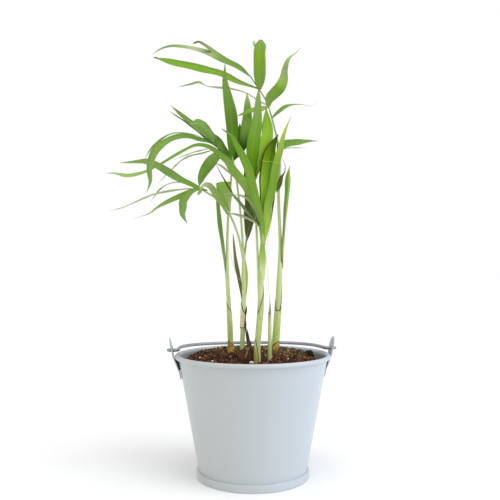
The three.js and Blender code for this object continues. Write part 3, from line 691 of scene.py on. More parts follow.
def soil_finish(name, dark, mid, light, scale):
    """Crumbly earth: three browns by noise, each loose crumb with a shade of its own."""
    made, tree, shader, place = new_finish(name)
    mottle = cloud(tree, place, scale, 5, 0.65)
    colour = blend(tree, ramp(tree, mottle, 0.3, 0.5), srgb(dark), srgb(mid))
    colour = blend(tree, ramp(tree, mottle, 0.52, 0.72), colour, srgb(light))
    across, depth, _ = add(tree, "ShaderNodeSeparateXYZ", {0: place}).outputs
    far = times(tree, across, 0.4, depth)
    mossy = ramp(tree, far, -0.012, 0.035, 0, 0.65)
    moss = blend(tree, ramp(tree, mottle, 0.35, 0.65), srgb("544a30"), srgb("958a5e"))
    colour = blend(tree, mossy, colour, moss)
    # The mound, the fibres and the lumps store no shade of their own and take the darkest tint; on the mound
    # this is painted shade in the gaps between the crumbs.
    own = blend(tree, stored(tree, "shade"), (0.26, 0.23, 0.22, 1), (2.2, 2.02, 1.9, 1))
    colour = tint(tree, colour, own)
    # Painted shade: the soil darkens round a spot between the stalk bases, under the leaves.
    apart = add(tree, "ShaderNodeVectorMath", {0: place, 1: STALK_BASE_SHADE_SPOT}, operation="DISTANCE")
    stalk_base_shade = ramp(tree, apart.outputs["Value"], 0.004, 0.013, 0.8, 0)
    colour = blend(tree, stalk_base_shade, colour, tint(tree, colour, (0.3, 0.27, 0.27)))
    dress(tree, shader, colour, 0.95, cloud(tree, place, scale * 3, 4, 0.7), 0.0005, 0.8)
    shader.inputs["Specular IOR Level"].default_value = 0.25
    return made


def scatter_tree():
    """Strews small lumps on a surface, each with its own size, turn, shape and shade."""
    tree, given = tree_of("strewn_lumps", [
        ("Density", "Float", 1e5), ("Smallest", "Float", 0.001), ("Largest", "Float", 0.002),
        ("Flatness", "Float", 0.7), ("Seed", "Int", 1), ("Material", "Material", None)])
    spread = new(tree, "GeometryNodeDistributePointsOnFaces",
                 {"Mesh": given["Geometry"], "Density": given["Density"], "Seed": given["Seed"]})
    block = new(tree, "GeometryNodeMeshCube", {
        "Size": (1, 1, 1), "Vertices X": 3, "Vertices Y": 3, "Vertices Z": 3})
    ball = vectors(tree, "NORMALIZE", new(tree, "GeometryNodeInputPosition"))
    ball = vectors(tree, "SCALE", ball, 0.5)
    lump = new(tree, "GeometryNodeSetPosition", {"Geometry": block, "Position": ball})
    size = add(tree, "FunctionNodeRandomValue", {2: given["Smallest"], 3: given["Largest"],
               "Seed": given["Seed"]}, data_type="FLOAT").outputs[1]
    flat = times(tree, size, given["Flatness"])
    scale = new(tree, "ShaderNodeCombineXYZ", {0: size, 1: flat, 2: flat})
    turn = new(tree, "FunctionNodeRandomValue", {1: (math.tau,) * 3, "Seed": 7}, data_type="FLOAT_VECTOR")
    strewn = new(tree, "GeometryNodeInstanceOnPoints", {
        "Points": spread, "Instance": lump, "Rotation": turn, "Scale": scale})
    own = add(tree, "FunctionNodeRandomValue", {2: 0.0, 3: 1.0, "Seed": 5}, data_type="FLOAT").outputs[1]
    shaded = store(tree, strewn, "shade", own, "INSTANCE")
    real = new(tree, "GeometryNodeRealizeInstances", {"Geometry": shaded})
    rough = add(tree, "ShaderNodeTexNoise", {"Scale": 900.0, "Detail": 1.0}).outputs["Color"]
    push = vectors(tree, "SCALE", vectors(tree, "SUBTRACT", rough, (0.5, 0.5, 0.5)), 0.0016)
    broken = new(tree, "GeometryNodeSetPosition", {"Geometry": real, "Offset": push})
    close_tree(tree, broken, given["Material"])
    return tree


peat = soil_finish("peat", "170b07", "50301f", "966d4b", 260)
keep(soil_mesh(False), "soil_mound", "soil", peat, "potting_soil")
strewn_lumps = scatter_tree()
ground = soil_mesh(True)
perlite = two_tone("perlite", 1500, 4, "b7a48f", "eee6da", (0.3, 0.6), 0.85, 0.0003, 0.6)
for name, per_metre, smallest, largest, flatness, seed, finish in (
        ("soil_crumbs", 4.4e5, 0.6, 2, 0.75, 3, peat),
        ("bark_chips", 2.2e4, 2.2, 4.2, 0.45, 11, peat),
        ("perlite_grains", 9e3, 0.5, 1.4, 0.7, 21, perlite)):
    strewn = plain_mesh(ground, strewn_lumps, Density=per_metre, Smallest=smallest * MM,
                        Largest=largest * MM, Flatness=flatness, Seed=seed, Material=finish)
    keep(strewn, name, "soil", finish)


def lumps(places):
    """Broken lumps set down one by one, each a place on the mound, a length and a thickness, in mm."""
    work = bmesh.new()
    for x, y, long, thick in places:
        middle = Vector((x, y, crumbled(x, y) + thick * 0.45))
        made = bmesh.ops.create_icosphere(work, subdivisions=3, radius=0.5)
        for corner in made["verts"]:
            x, y, z = corner.co * (1 + 0.35 * noise.noise(corner.co * 3 + middle))
            corner.co = CLUMP_TURN @ (middle + Vector((x * long, y * long * 0.7, z * thick))) * MM
    return outward(work, 180)


WHITE_LUMPS = [(-1, -28.5, 3, 2.2), (-15, -4, 1.4, 0.9), (-26, -23, 1.5, 1), (8, -14, 1.3, 0.9),
               (-35, -9, 1.5, 0.9), (23, -14, 1.3, 0.9)]
CHARRED_LUMPS = [(25, 35, 3.4, 2), (39.5, 6, 4, 4.4), (40, 1, 3.4, 3), (38, 12, 2.4, 2.6),
                 (-20, 30, 2.4, 1.4)]
keep(lumps(WHITE_LUMPS), "perlite_lumps", "soil", perlite)
charred = soil_finish("charred_bark", "060404", "120b08", "24170f", 300)
keep(lumps(CHARRED_LUMPS), "charred_lumps", "soil", charred)

FIBRES = 34
FIBRE_SPREAD = 43
FIBRE_STEP = 0.8
strew = random.Random(12)
fibres = []
for _ in range(FIBRES):
    a, reach = strew.uniform(0, math.tau), FIBRE_SPREAD * math.sqrt(strew.random())
    x, y, heading = reach * math.cos(a), reach * math.sin(a), strew.uniform(0, math.tau)
    bend = strew.uniform(-0.35, 0.35)
    fibre = []
    for k in range(8):
        if math.hypot(x, y) > FIBRE_SPREAD + 1:
            break
        place = Vector((x, y, crumbled(x, y) + 0.35 + 0.5 * math.sin(k * math.pi / 7)))
        fibre.append((CLUMP_TURN @ place * MM, 0.00009 + 0.00001 * (k % 3)))
        heading += bend
        x, y = x + FIBRE_STEP * math.cos(heading), y + FIBRE_STEP * math.sin(heading)
    if len(fibre) > 3:
        fibres.append(fibre)
fibre_tan = soil_finish("fibre_tan", "b89a72", "dcc096", "f0dcb8", 500)
keep(plain_mesh(lines_mesh(fibres, {"radius": "FLOAT"}), round_sweep, Sides=6, Material=fibre_tan),
     "soil_fibres", "soil", fibre_tan)

# ---- Seedlings -------------------------------------------------------------------------------
# Five young palms. Each has one smooth pale stalk that forks into narrow leaflets, folded along a
# midrib, with fine veins along them. They stand in holes in the soil. Leaflets are in millimetres: their
# ribs run from the stalk to the tip, and their shapes are shares of the width, evenly spaced.

FINE_STEP = 1.6
SECTION_POINTS = 20
TONES = {
    "night": "294e0b", "dark": "4c7c0e", "moss": "384212", "dusk": "4c5a28", "deep": "4e7c08",
    "forest": "618930", "green": "6a932e", "vivid": "719a2c", "fresh": "759a41", "mid": "709242",
    "soft": "779a4c", "grey": "819a5a", "pale": "94b266", "frost": "abbb87", "silver": "909c78",
    "ash": "697e4c", "bright": "a4be4c", "lime": "83b030", "ivy": "648a0c", "sap": "84a84a",
    "young": "8ca05c", "spear": "5e6039", "dun": "82785a", "brown": "5a3c22",
    "stem_low": "a8b964", "stem": "c4d492", "stem_pale": "dde6c4", "stem_thin": "a0b278",
    "stem_green": "9bb75a", "stem_top": "82a345",
    "base_low": "adc56c", "base_dry": "b4c176", "base_lit": "b9d16e", "base_top": "c9ce88",
    "husk": "b0946a", "husk_dark": "65401e", "husk_green": "ab9b52", "husk_gold": "c8a654",
    "paper": "d8d6a4", "seam": "3c2616",
}
LEAF = (0.2, 0.6, 0.85, 1, 1, 0.9, 0.75, 0.5, 0.06)
STRAP = (0.2, 0.5, 0.75, 0.95, 1, 0.95, 0.8, 0.5, 0.06)
SPEAR = (0.2, 0.45, 0.65, 0.85, 1, 1, 0.9, 0.6, 0.06)


def leaf(tones, width, rib, side=((10, 0, 0),), shape=LEAF, fold=0.12, split=0.16, rim=0):
    """A leaflet. Its split is how much painted shade darkens one half, its rim how brown the other half's
    edge.
    """
    return dict(tones=tones.split(), width=width, rib=rib, side=side, shape=shape, fold=fold,
                split=split, rim=rim)


STALKS = {
    "left": [
        ("stem_low stem stem stem_thin", [(-15, 15, 70, 1.7), (-16, 15, 99, 1.7), (-18, 15, 136, 1.4),
         (-18, 15, 152, 1), (-17, 14, 183, 0.8), (-15, 12, 212, 0.7), (-17, 11, 218, 0.6),
         (-26, 9, 225, 0.5)]),
    ],
    "middle": [
        ("stem_low stem_low stem stem stem", [(-7, -10, 70, 1.6), (-7, -10, 88, 1.6), (-6, -10, 120, 1.7),
         (-6, -10, 134, 1.6), (-6, -10, 148, 1.1)]),
        ("stem stem_thin", [(-6, -10, 143, 0.9), (-11, -11, 164, 0.7), (-20, -13, 181, 0.7),
         (-36, -14, 192, 0.5)]),
        ("stem stem_thin", [(-6, -10, 143, 0.9), (-8, -6, 172, 0.7), (-11, -2, 198, 0.6),
         (-14, 0, 215, 0.6)]),
        ("stem_green spear", [(-6, -9, 143, 0.8), (-4, -7, 160, 0.5), (-3, -6, 166, 0.5)]),
    ],
    "front": [
        ("stem_low stem_low stem stem_green stem_green", [(3, -27, 70, 1.8), (3, -27, 90, 1.6),
         (5, -27, 116, 1.8), (5, -26, 131, 1.8), (6, -26, 153, 1.2), (6, -26, 166, 0.8)]),
        ("stem_pale stem stem_thin", [(4, -26, 115, 0.9), (3, -24, 146, 0.8), (2, -21, 170, 0.7),
         (1, -14, 201, 0.6)]),
    ],
    "slim": [
        ("stem_low stem_thin stem_pale stem_pale", [(11, -16, 70, 1.2), (11, -16, 88, 1),
         (11, -16, 110, 0.8), (11, -16, 117, 0.2), (9, -14, 149, 0.17), (12, -10, 170, 0.25)]),
    ],
    "right": [
        ("stem_low stem stem stem_thin stem_top", [(14, 3, 70, 2.4), (16, 4, 93, 2.3), (18, 4, 125, 2.1),
         (19, 6, 153, 1.2), (18, 8, 191, 1), (19, 10, 218, 0.8), (15, 11, 239, 0.6), (10, 12, 256, 0.5),
         (5, 13, 265, 0.5), (-2, 14, 276, 0.4)]),
    ],
}
LEAFLETS = {
    "left": {
        "young": leaf("brown grey mid mid fresh fresh", 4.6, [(-18.5, 15, 132), (-19.5, 13, 148),
            (-22.5, 12, 173), (-25, 9, 196)], ((5, 8, 0), (6, 7, 0)), SPEAR, 0.5),
        "top": leaf("dark soft forest", 6.6, [(-14, 12, 212), (-19, 12, 220), (-25, 12, 228),
            (-32, 15, 234), (-45, 21, 245), (-60, 27, 258)], ((5, 4, 7), (3, 8, 5)),
            (0.4, 0.9, 1, 1, 1, 1, 0.95, 0.8, 0.5, 0.06)),
        "top_low": leaf("forest forest", 5.5, [(-21, 11, 221), (-34, 19, 233), (-45, 24, 243),
            (-62, 30, 255)], ((2, 9, 3),)),
        "hook": leaf("soft soft soft", 6.2, [(-23, 10, 223), (-27, 6, 229), (-30, 3, 233), (-33, 0, 237),
            (-36, -3, 238), (-39, -7, 237), (-43, -11, 235)], ((9, 3, 4), (4, 5, 6), (1, 6, 8)),
            (0.3, 0.7, 0.9, 1, 1, 0.9, 0.5, 0.06)),
        "arch": leaf("forest mid soft", 5.6, [(-25, 9, 224), (-30, 6, 227), (-37, 2, 228), (-44, -4, 229),
            (-51, -10, 227), (-58, -17, 222), (-63, -24, 215), (-65, -28, 209), (-66, -31, 201),
            (-65, -33, 193), (-67, -34, 186)], ((2, 7, 7), (1, 7, 7), (-3, 5, 7), (-7, 4, 4),
            (-10, 2, 1)), (0.3, 0.7, 0.85, 0.85, 0.85, 0.9, 1, 1, 0.8, 0.45, 0.05)),
        "arch_thin": leaf("sap pale", 5, [(-25, 10, 224), (-40, 8, 232), (-55, 2, 232), (-67, -6, 222),
            (-72, -12, 212)], ((0, 10, 2), (3, 10, 2)), STRAP),
        "thread": leaf("pale pale", 6, [(-24, 10, 223), (-35, 15, 221), (-49, 20, 218), (-69, 24, 200)],
            ((0, 10, 4), (3, 9, 4)), STRAP),
        "thread_up": leaf("pale pale", 5, [(-24, 10, 224), (-41, 21, 223), (-58, 28, 218)], ((0, 10, 3),),
            STRAP),
        "hanging": leaf("pale fresh soft", 8, [(-21, 10, 221), (-29, 6, 213), (-35, 3, 203),
            (-37, 2, 195)], ((8, 4, -5), (9, 4, -3))),
        "cross": leaf("forest forest night", 5.4, [(-15, 12, 211), (-17, 9, 217), (-21, 6, 223),
            (-25, 7, 229), (-32, 10, 235)], ((6, 3, 7), (5, 3, 8)), STRAP),
        "short": leaf("stem stem", 3.2, [(-15, 13, 205), (-21, 10, 210), (-26, 7, 212)], ((3, 8, 6),
            (3, 8, 5))),
    },
    "middle": {
        "spear": leaf("spear spear dun", 3, [(-7, -11, 118), (-9, -12, 133), (-11, -13, 143),
            (-13, -14, 161)], ((8, 5, 2),), (0.4, 0.6, 0.9, 1, 0.9, 0.7, 0.5, 0.2), 0.4),
        "end": leaf("green soft soft", 7, [(-30, -14, 190), (-36, -14, 192), (-40, -14, 194),
            (-48, -12, 198), (-56, -11, 203), (-64, -9, 208), (-72, -8, 211), (-78, -6, 211),
            (-90, -5, 210)], ((4, 6, 7), (2, 7, 7)), STRAP),
        "reach": leaf("mid mid frost", 4.8, [(-35, -14, 191), (-40, -16, 190), (-47, -20, 186),
            (-54, -25, 182), (-61, -30, 177), (-65, -34, 173), (-69, -37, 171), (-74, -39, 169)],
            ((-3, 6, 7), (-3, 7, 7)), (0.2, 0.8, 1, 0.9, 0.6, 0.35, 0.15, 0.05)),
        "fine": leaf("frost frost", 5, [(-34, -14, 191), (-46, -7, 192), (-69, 5, 190), (-92, 15, 182),
            (-102, 19, 180)], ((0, 10, 4),), STRAP),
        "curl": leaf("fresh mid soft", 5.4, [(-35, -14, 191), (-39, -18, 190), (-42, -22, 187),
            (-45, -25, 182), (-45, -27, 178), (-45, -28, 173), (-42, -29, 167)], ((-5, 5, 7), (-9, 3, 3),
            (-10, 3, 0)), (0.3, 0.7, 0.9, 1, 1, 0.9, 0.5, 0.06)),
        "back": leaf("soft pale", 5, [(-35, -14, 192), (-52, 1, 198), (-64, 9, 195), (-72, 14, 186)],
            ((0, 10, 2), (3, 10, 2)), STRAP),
        "flag": leaf("sap pale frost", 5.6, [(-16, -12, 174), (-19, -14, 181), (-23, -17, 186),
            (-26, -20, 190), (-28, -23, 192), (-31, -26, 192), (-34, -28, 189), (-35, -29, 185)],
            ((7, 3, 5), (5, 4, 6), (2, 7, 7)), (0.4, 0.8, 1, 1, 0.9, 0.6, 0.4, 0.06)),
        "folded": leaf("stem sap sap", 10, [(-15, -12, 176), (-18, -11, 185), (-19, -10, 191),
            (-20, -6, 197), (-20, 0, 194)], ((10, 1, 1),), (0.1, 0.4, 0.75, 1, 1, 1, 0.95, 0.6)),
        "tiny": leaf("pale pale", 2.4, [(-34, -14, 191), (-36, -20, 186)], ((6, 6, 3),)),
        "tall": leaf("dark forest mid", 8.4, [(-14, 0, 213), (-14, 1, 223), (-14, 2, 234), (-15, -1, 245),
            (-17, -2, 256), (-19, -3, 267), (-19, -4, 278)], ((10, 1, 0), (10, 2, 0)),
            (0.4, 0.7, 0.95, 1, 1, 0.85, 0.6, 0.35, 0.06)),
        "pale": leaf("night night fresh fresh pale", 8, [(-14, 0, 212), (-7, 2, 224), (-4, 5, 244),
            (-4, 6, 261)], ((10, -3, 0),)),
        "dark": leaf("night dark", 7, [(-14, 0, 213), (-9, 8, 228), (-9, 12, 241)], ((10, 4, 0),)),
        "half": leaf("stem_green stem_green", 2.2, [(-5, -11, 117), (-4.4, -11, 135), (-6, -11, 148)]),
        "shade": leaf("dusk dusk", 8.6, [(-4, -7, 157), (-3, -6, 165), (-2, -5, 174), (-1, -4, 185),
            (-3, -4, 197), (-5, -3, 211)], ((10, 3, 0),), (0.1, 0.5, 0.75, 1, 1, 1, 0.8, 0.7, 0.4, 0.06)),
    },
    "front": {
        "spread": leaf("stem stem stem_green stem_top", 4.4, [(6, -27.5, 128), (6, -27.5, 140),
            (6, -27, 154)], shape=(0.3, 0.7, 0.9, 1, 0.9, 0.6)),
        "broad_front": leaf("fresh green forest", 5.8, [(6, -26, 154), (6, -27, 162), (5, -27, 169),
            (3, -28, 177), (1, -29, 186), (-1, -30, 194), (-3, -30, 202), (-6, -31, 209), (-10, -32, 216),
            (-13, -32, 222), (-17, -32, 225), (-20, -32, 227)], ((10, 2, 3), (8, 3, 5)),
            (0.4, 0.7, 0.9, 1, 1, 1, 0.85, 0.5, 0.1)),
        "long": leaf("sap sap forest sap pale", 7, [(6, -26, 157), (5, -25, 167), (2, -24, 176),
            (-1, -24, 185), (-5, -24, 193), (-9, -23, 198), (-13, -23, 203), (-16, -22, 208),
            (-22, -22, 213), (-27, -22, 217), (-33, -22, 219), (-38, -21, 219), (-45, -20, 216),
            (-52, -20, 212), (-60, -20, 207), (-70, -20, 202), (-76, -21, 200), (-82, -22, 199),
            (-89, -23, 200), (-95, -24, 200)], ((5, 5, 7), (4, 5, 8), (2, 7, 7), (3, 7, 6)),
            (0.3, 0.65, 0.95, 1, 0.8, 0.6, 0.55, 0.6, 0.55, 0.62, 0.05)),
        "silver_low": leaf("silver silver", 3.6, [(6, -26, 163), (0, -30, 169), (-10, -35, 172),
            (-16, -38, 173)], ((2, 8, 6), (0, 8, 6))),
        "dark_thin": leaf("moss moss", 5, [(6, -26, 163), (-1, -28, 173), (-10, -30, 182),
            (-17, -30, 193), (-24, -32, 205)], ((2, 10, 1),)),
        "silver_mid": leaf("ash ash grey", 4.2, [(6, -26, 164), (-4, -32, 175), (-14, -39, 185),
            (-19, -44, 183)], ((3, 8, 3), (2, 8, 6))),
        "silver_top": leaf("forest ash grey", 3.6, [(6, -26, 164), (1, -32, 177), (-5, -36, 183),
            (-11, -40, 184)], ((5, 7, 5), (2, 8, 6))),
        "bright": leaf("bright green bright", 5.8, [(6, -26, 150), (7, -26, 158), (9, -25, 168),
            (10, -24, 179), (13, -23, 192), (15, -21, 205), (18, -20, 216), (20, -19, 225),
            (22, -18, 231), (25, -18, 238)], ((10, 4, -2), (9, 4, -4)),
            (0.5, 0.8, 1, 1, 1, 0.9, 0.75, 0.4, 0.05)),
        "broad_back": leaf("bright lime lime ivy moss", 11, [(6, -26, 159), (7, -24, 168), (8, -22, 178),
            (9, -20, 189), (10, -17, 201), (11, -15, 211), (13, -13, 220), (17, -11, 228)],
            ((10, 4, -1),), (0.2, 0.4, 0.6, 0.8, 1, 1, 0.9, 0.5, 0.06), split=0.7, rim=0.9),
        "centre": leaf("deep green grey", 8.6, [(1, -15, 199), (0, -14, 217), (3, -11, 238),
            (4, -9, 260)], ((10, 2, 0),), (0.25, 0.65, 0.95, 1, 0.95, 0.8, 0.62, 0.42, 0.06)),
        "lime": leaf("sap lime vivid", 9, [(1, -15, 197), (4, -13, 208), (7, -11, 218), (10, -9, 227),
            (10, -7, 237), (9, -5, 248)], ((10, 5, 0),), (0.3, 0.5, 0.75, 0.95, 1, 0.95, 0.6, 0.08)),
    },
    "slim": {
        "only": leaf("moss moss brown", 4.5, [(12, -10, 168), (15, -7, 191), (17, -5, 214),
            (16, -4, 230)], ((3, 10, 0),), STRAP),
    },
    "right": {
        "young": leaf("brown stem_low young young sap sap bright", 6.4, [(20.3, 5, 139), (20.8, 5, 151),
            (21.9, 6, 166), (23.2, 7, 181), (24.4, 7.5, 192), (25, 8, 201), (25.5, 8.5, 207),
            (26.1, 9, 210.5)], ((5, 8, 0), (6, 8, 0)),
            (0.42, 0.52, 0.55, 0.58, 0.68, 0.85, 1, 0.95, 0.06), split=-1),
        "low": leaf("fresh vivid vivid", 9.4, [(5, 13, 266), (-9, 12, 271), (-21, 9, 276), (-31, 6, 278),
            (-41, 2, 279), (-50, -4, 279), (-58, -9, 279), (-67, -12, 280)], ((0, 7, 7), (1, 7, 7)),
            (0.2, 0.55, 0.85, 1, 1, 1, 0.9, 0.65, 0.08), split=0.4),
        "mark": leaf("brown brown", 1.2, [(-64, -12, 279.6), (-66, -12.6, 279.8)], ((0, 2, 9),)),
        "high": leaf("mid mid frost grey grey", 5.8, [(-2, 13, 275), (-11, 12, 282), (-22, 12.4, 287),
            (-31, 14.6, 292.6), (-41, 18.5, 297), (-51, 23, 300.4), (-60, 28, 302.6), (-69, 33, 302),
            (-76, 40, 300)], ((1, 6, 8),), (0.2, 0.8, 1, 1, 0.95, 0.85, 0.65, 0.55, 0.55, 0.4, 0.05),
            0.02),
        "end": leaf("grey mid mid grey brown", 6.8, [(-2, 13, 275), (-9, 17, 283), (-18, 19, 289),
            (-26, 19, 294), (-33, 12, 297), (-38, 10, 299), (-42, 8, 297)], ((3, 7, 6), (2, 7, 6)),
            (0.2, 0.75, 1, 1, 0.95, 0.85, 0.7, 0.5, 0.5)),
        "upright": leaf("fresh vivid fresh", 8.6, [(5, 12, 265), (5, 10, 273), (5, 9, 283), (5, 11, 293),
            (6, 14, 299), (6, 17, 303)], ((10, 0, 0), (10, 2, 0)),
            (0.2, 0.65, 0.9, 1, 1, 1, 1, 0.98, 0.93, 0.78, 0.3)),
        "flap": leaf("pale frost", 2, [(2, 14, 296), (1, 16, 300), (1, 18, 303)], ((10, 2, 0),)),
        "flame": leaf("sap sap vivid sap grey grey pale frost frost", 8, [(11, 12, 253), (12, 10, 258),
            (15, 8, 261), (19, 7, 265), (22, 9, 272), (23, 12, 280), (26, 16, 289), (31, 19, 294),
            (35, 22, 299)], ((8, 3, -5), (9, 3, -3), (10, 3, -1), (8, 4, -5)),
            (0.35, 0.85, 1, 1, 0.85, 0.65, 0.5, 0.36, 0.16, 0.09, 0.04)),
        "tail": leaf("sap sap pale", 5.6, [(14, 11, 245), (18, 8, 248), (22, 4, 250), (28, 0, 251),
            (34, -4, 250), (40, -8, 248), (45, -10, 251)], ((-3, 6, 7), (0, 9, 4), (0, 10, 1)),
            (0.3, 0.8, 1, 0.8, 0.5, 0.3, 0.2, 0.05)),
        "streamer": leaf("frost grey", 4.2, [(11, 12, 254), (5, 16, 258), (-4, 24, 266), (-16, 32, 272),
            (-28, 38, 275), (-35, 42, 277), (-41, 45, 281), (-48, 47, 280), (-57, 48, 278)], ((0, 6, 7),),
            (0.3, 0.3, 0.25, 0.25, 0.3, 0.5, 0.7, 0.4, 0.2, 0.8, 0.6, 0.05)),
        "between": leaf("sap sap vivid", 4.2, [(11, 12, 253), (6, 5, 250), (2, 0, 248), (-2, -1, 247),
            (-6, -1, 245), (-11, -1, 243)], ((1, 5, 8), (0, 3, 9)), (0.3, 0.7, 1, 1, 0.9, 0.6, 0.06)),
        "side": leaf("fresh mid grey", 6.4, [(19, 10, 221), (23, 12, 226), (30, 15, 228), (38, 20, 230),
            (43, 23, 231), (48, 24, 231)], ((0, 5, 8),), (0.3, 0.95, 1, 0.95, 0.8, 0.6, 0.4, 0.2, 0.06)),
        "side_thin": leaf("frost frost", 3.2, [(19, 10, 219), (22, 3, 221), (31, -6, 220),
            (36, -10, 219)], ((0, 10, 1),), STRAP),
        "droop": leaf("dun dun dusk dusk", 3.8, [(19, 10, 221), (19, 5, 219), (20, 4, 215), (22, 3, 211),
            (22, 2, 205), (20, 2, 202), (18, 0, 196), (16, -2, 190)], ((1, 10, 0), (9, 3, 3)),
            (0.25, 0.2, 0.2, 0.2, 0.25, 0.35, 0.75, 1, 0.8, 0.05)),
    },
}


def leaf_tree():
    """Sweeps a leaflet's section along its rib: a thin lens, folded at the midrib, with side ribs."""
    tree, given = tree_of("leaflet_sweep", [
        ("Section Points", "Int", 20), ("Thinness", "Float", 0.05), ("Rib Height", "Float", 0.05),
        ("Ripple", "Float", 0.06), ("Material", "Material", None)])
    line = new(tree, "GeometryNodeMeshToCurve", {"Mesh": given["Geometry"]})
    facing = add(tree, "GeometryNodeSetCurveNormal", {"Curve": line}, mode="FREE")
    feed(tree, facing, {"Normal": read(tree, "across", "FLOAT_VECTOR")})
    section = new(tree, "GeometryNodeCurvePrimitiveCircle", {"Resolution": given["Section Points"],
                  "Radius": 1.0})
    x, y, _ = add(tree, "ShaderNodeSeparateXYZ", {0: new(tree, "GeometryNodeInputPosition")}).outputs
    section = store(tree, store(tree, section, "lane", x), "upper", y)
    lens = new(tree, "ShaderNodeCombineXYZ", {0: x, 1: times(tree, y, given["Thinness"])})
    section = new(tree, "GeometryNodeSetPosition", {"Geometry": section, "Position": lens})
    blade = new(tree, "GeometryNodeCurveToMesh", {"Curve": facing.outputs[0], "Profile Curve": section,
                "Scale": read(tree, "half"), "Fill Caps": True})
    lane, along, own = [read(tree, name) for name in ("lane", "along", "own")]
    wide = sums(tree, "ABSOLUTE", lane)
    ribs = sums(tree, "COSINE", times(tree, wide, 4 * math.pi))
    lift = times(tree, wide, read(tree, "fold"))
    lift = sums(tree, "ADD", lift, times(tree, ribs, given["Rib Height"]))
    phase = times(tree, along, 21.0, times(tree, own, 40.0))
    phase = times(tree, lane, 1.3, phase)
    sway = times(tree, sums(tree, "SINE", phase), times(tree, wide, wide))
    lift = times(tree, sway, given["Ripple"], lift)
    lift = times(tree, lift, read(tree, "half"))
    raised = vectors(tree, "SCALE", read(tree, "up", "FLOAT_VECTOR"), lift)
    blade = new(tree, "GeometryNodeSetPosition", {"Geometry": blade, "Offset": raised})
    close_tree(tree, blade, given["Material"], smooth=True)
    return tree


def between(values, t):
    """A value part of the way along a short list, on a smooth curve through its entries."""
    if len(values) == 1:
        return values[0]
    at = min(t * (len(values) - 1), len(values) - 1.000001)
    k, s = int(at), at - int(at)
    a, b, c, d = [values[min(max(k + n, 0), len(values) - 1)] for n in (-1, 0, 1, 2)]
    return b + (c - a) * (s * 0.5) + (a * 2 - b * 5 + c * 4 - d) * (s * s * 0.5) + (
        b * 3 - a - c * 3 + d) * (s ** 3 * 0.5)


def leaf_line(tones, width, rib, side, shape, fold, split, rim, own):
    """A leaflet's rib as points with all that the sweep and the finish read from them."""
    line = smooth_line([Vector(p) for p in rib], FINE_STEP)
    sides = [Vector(s).normalized() for s in side]
    colours = [Vector(srgb(TONES[tone])) for tone in tones]
    points = []
    for i, place in enumerate(line):
        t = i / (len(line) - 1)
        along = (line[min(i + 1, len(line) - 1)] - line[max(i - 1, 0)]).normalized()
        across = between(sides, t)
        across = (across - along * across.dot(along)).normalized()
        up = along.cross(across)
        half = width / 2 * max(0.03, between(shape, t))
        points.append((CLUMP_TURN @ place * MM, CLUMP_TURN @ across, CLUMP_TURN @ up, half * MM, t, fold,
                       own, split, rim, between(colours, t)))
    return points


def stalk_line(tones, path):
    """A stalk's points, each with its radius, its share of the length and its tone."""
    line = smooth_line([Vector(p[:3]) for p in path], FINE_STEP)
    colours = [Vector(srgb(TONES[tone])) for tone in tones.split()]
    spans = [(Vector(q[:3]) - Vector(p[:3])).length for p, q in zip(path, path[1:])]
    points = []
    for i, place in enumerate(line):
        t = i / (len(line) - 1)
        run, k = t * sum(spans), 0
        while k < len(spans) - 1 and run > spans[k]:
            run -= spans[k]
            k += 1
        radius = path[k][3] + (path[k + 1][3] - path[k][3]) * min(1, run / spans[k])
        points.append((CLUMP_TURN @ place * MM, radius * MM, t, between(colours, t)))
    return points


def leaf_finish():
    """Leaf green from the leaflet's own tone, with its midrib, veins, and painted shade on one of its two
    halves.
    """
    made, tree, shader, place = new_finish("leaf_green")
    lane, along, own, split, edge, upper = [
        stored(tree, name) for name in ("lane", "along", "own", "split", "rim", "upper")]
    strip = new(tree, "ShaderNodeCombineXYZ", {0: times(tree, lane, 9.0),
                1: times(tree, along, 1.5), 2: times(tree, own, 30.0)})
    veins = cloud(tree, strip, 3.0, 4, 0.65)
    colour = stored(tree, "tone", "Color")
    blotch = ramp(tree, cloud(tree, place, 90, 3, 0.6), 0.3, 0.7, 0, 0.3)
    colour = blend(tree, blotch, colour, tint(tree, colour, (1.25, 1.15, 0.9)))
    colour = blend(tree, ramp(tree, veins, 0.3, 0.7), tint(tree, colour, (0.88, 0.9, 0.86)),
                   tint(tree, colour, (1.1, 1.08, 1.1)))
    # Painted shade: one half of the fold, chosen by the sign of split, is darkened by its size.
    half_shade = ramp(tree, times(tree, lane, sums(tree, "SIGN", split)), -0.05, 0.05)
    half_shade = times(tree, half_shade, sums(tree, "ABSOLUTE", split))
    colour = blend(tree, half_shade, colour, tint(tree, colour, (0.48, 0.6, 0.4)))
    brown_rim = times(tree, ramp(tree, lane, -0.9, -0.8, 1, 0), edge)
    colour = blend(tree, brown_rim, colour, srgb("3a3518"))
    under = ramp(tree, upper, -0.1, 0.1, 1, 0)
    colour = blend(tree, under, colour, tint(tree, colour, (1.1, 1.04, 1.2)))
    midrib = ramp(tree, sums(tree, "ABSOLUTE", lane), 0.03, 0.09, 0.14, 0)
    colour = blend(tree, midrib, colour, srgb("a9c95c"))
    tip = times(tree, sums(tree, "SUBTRACT", cloud(tree, place, 300, 3), 0.5), 0.05, along)
    colour = blend(tree, ramp(tree, tip, 0.965, 0.99, 0, 0.8), colour, srgb("7a6a35"))
    speck = ramp(tree, cloud(tree, place, 420, 2, 0.5), 0.75, 0.8, 0, 0.35)
    colour = blend(tree, speck, colour, srgb("6e5a2c"))
    dress(tree, shader, colour, ramp(tree, veins, 0.2, 0.8, 0.42, 0.56), veins, 0.0003, 0.4)
    shader.inputs["Specular IOR Level"].default_value = 0.05
    shader.inputs["Subsurface Weight"].default_value = 0.05
    shader.inputs["Subsurface Radius"].default_value = (0.6, 1.0, 0.25)
    shader.inputs["Subsurface Scale"].default_value = 0.001
    return made


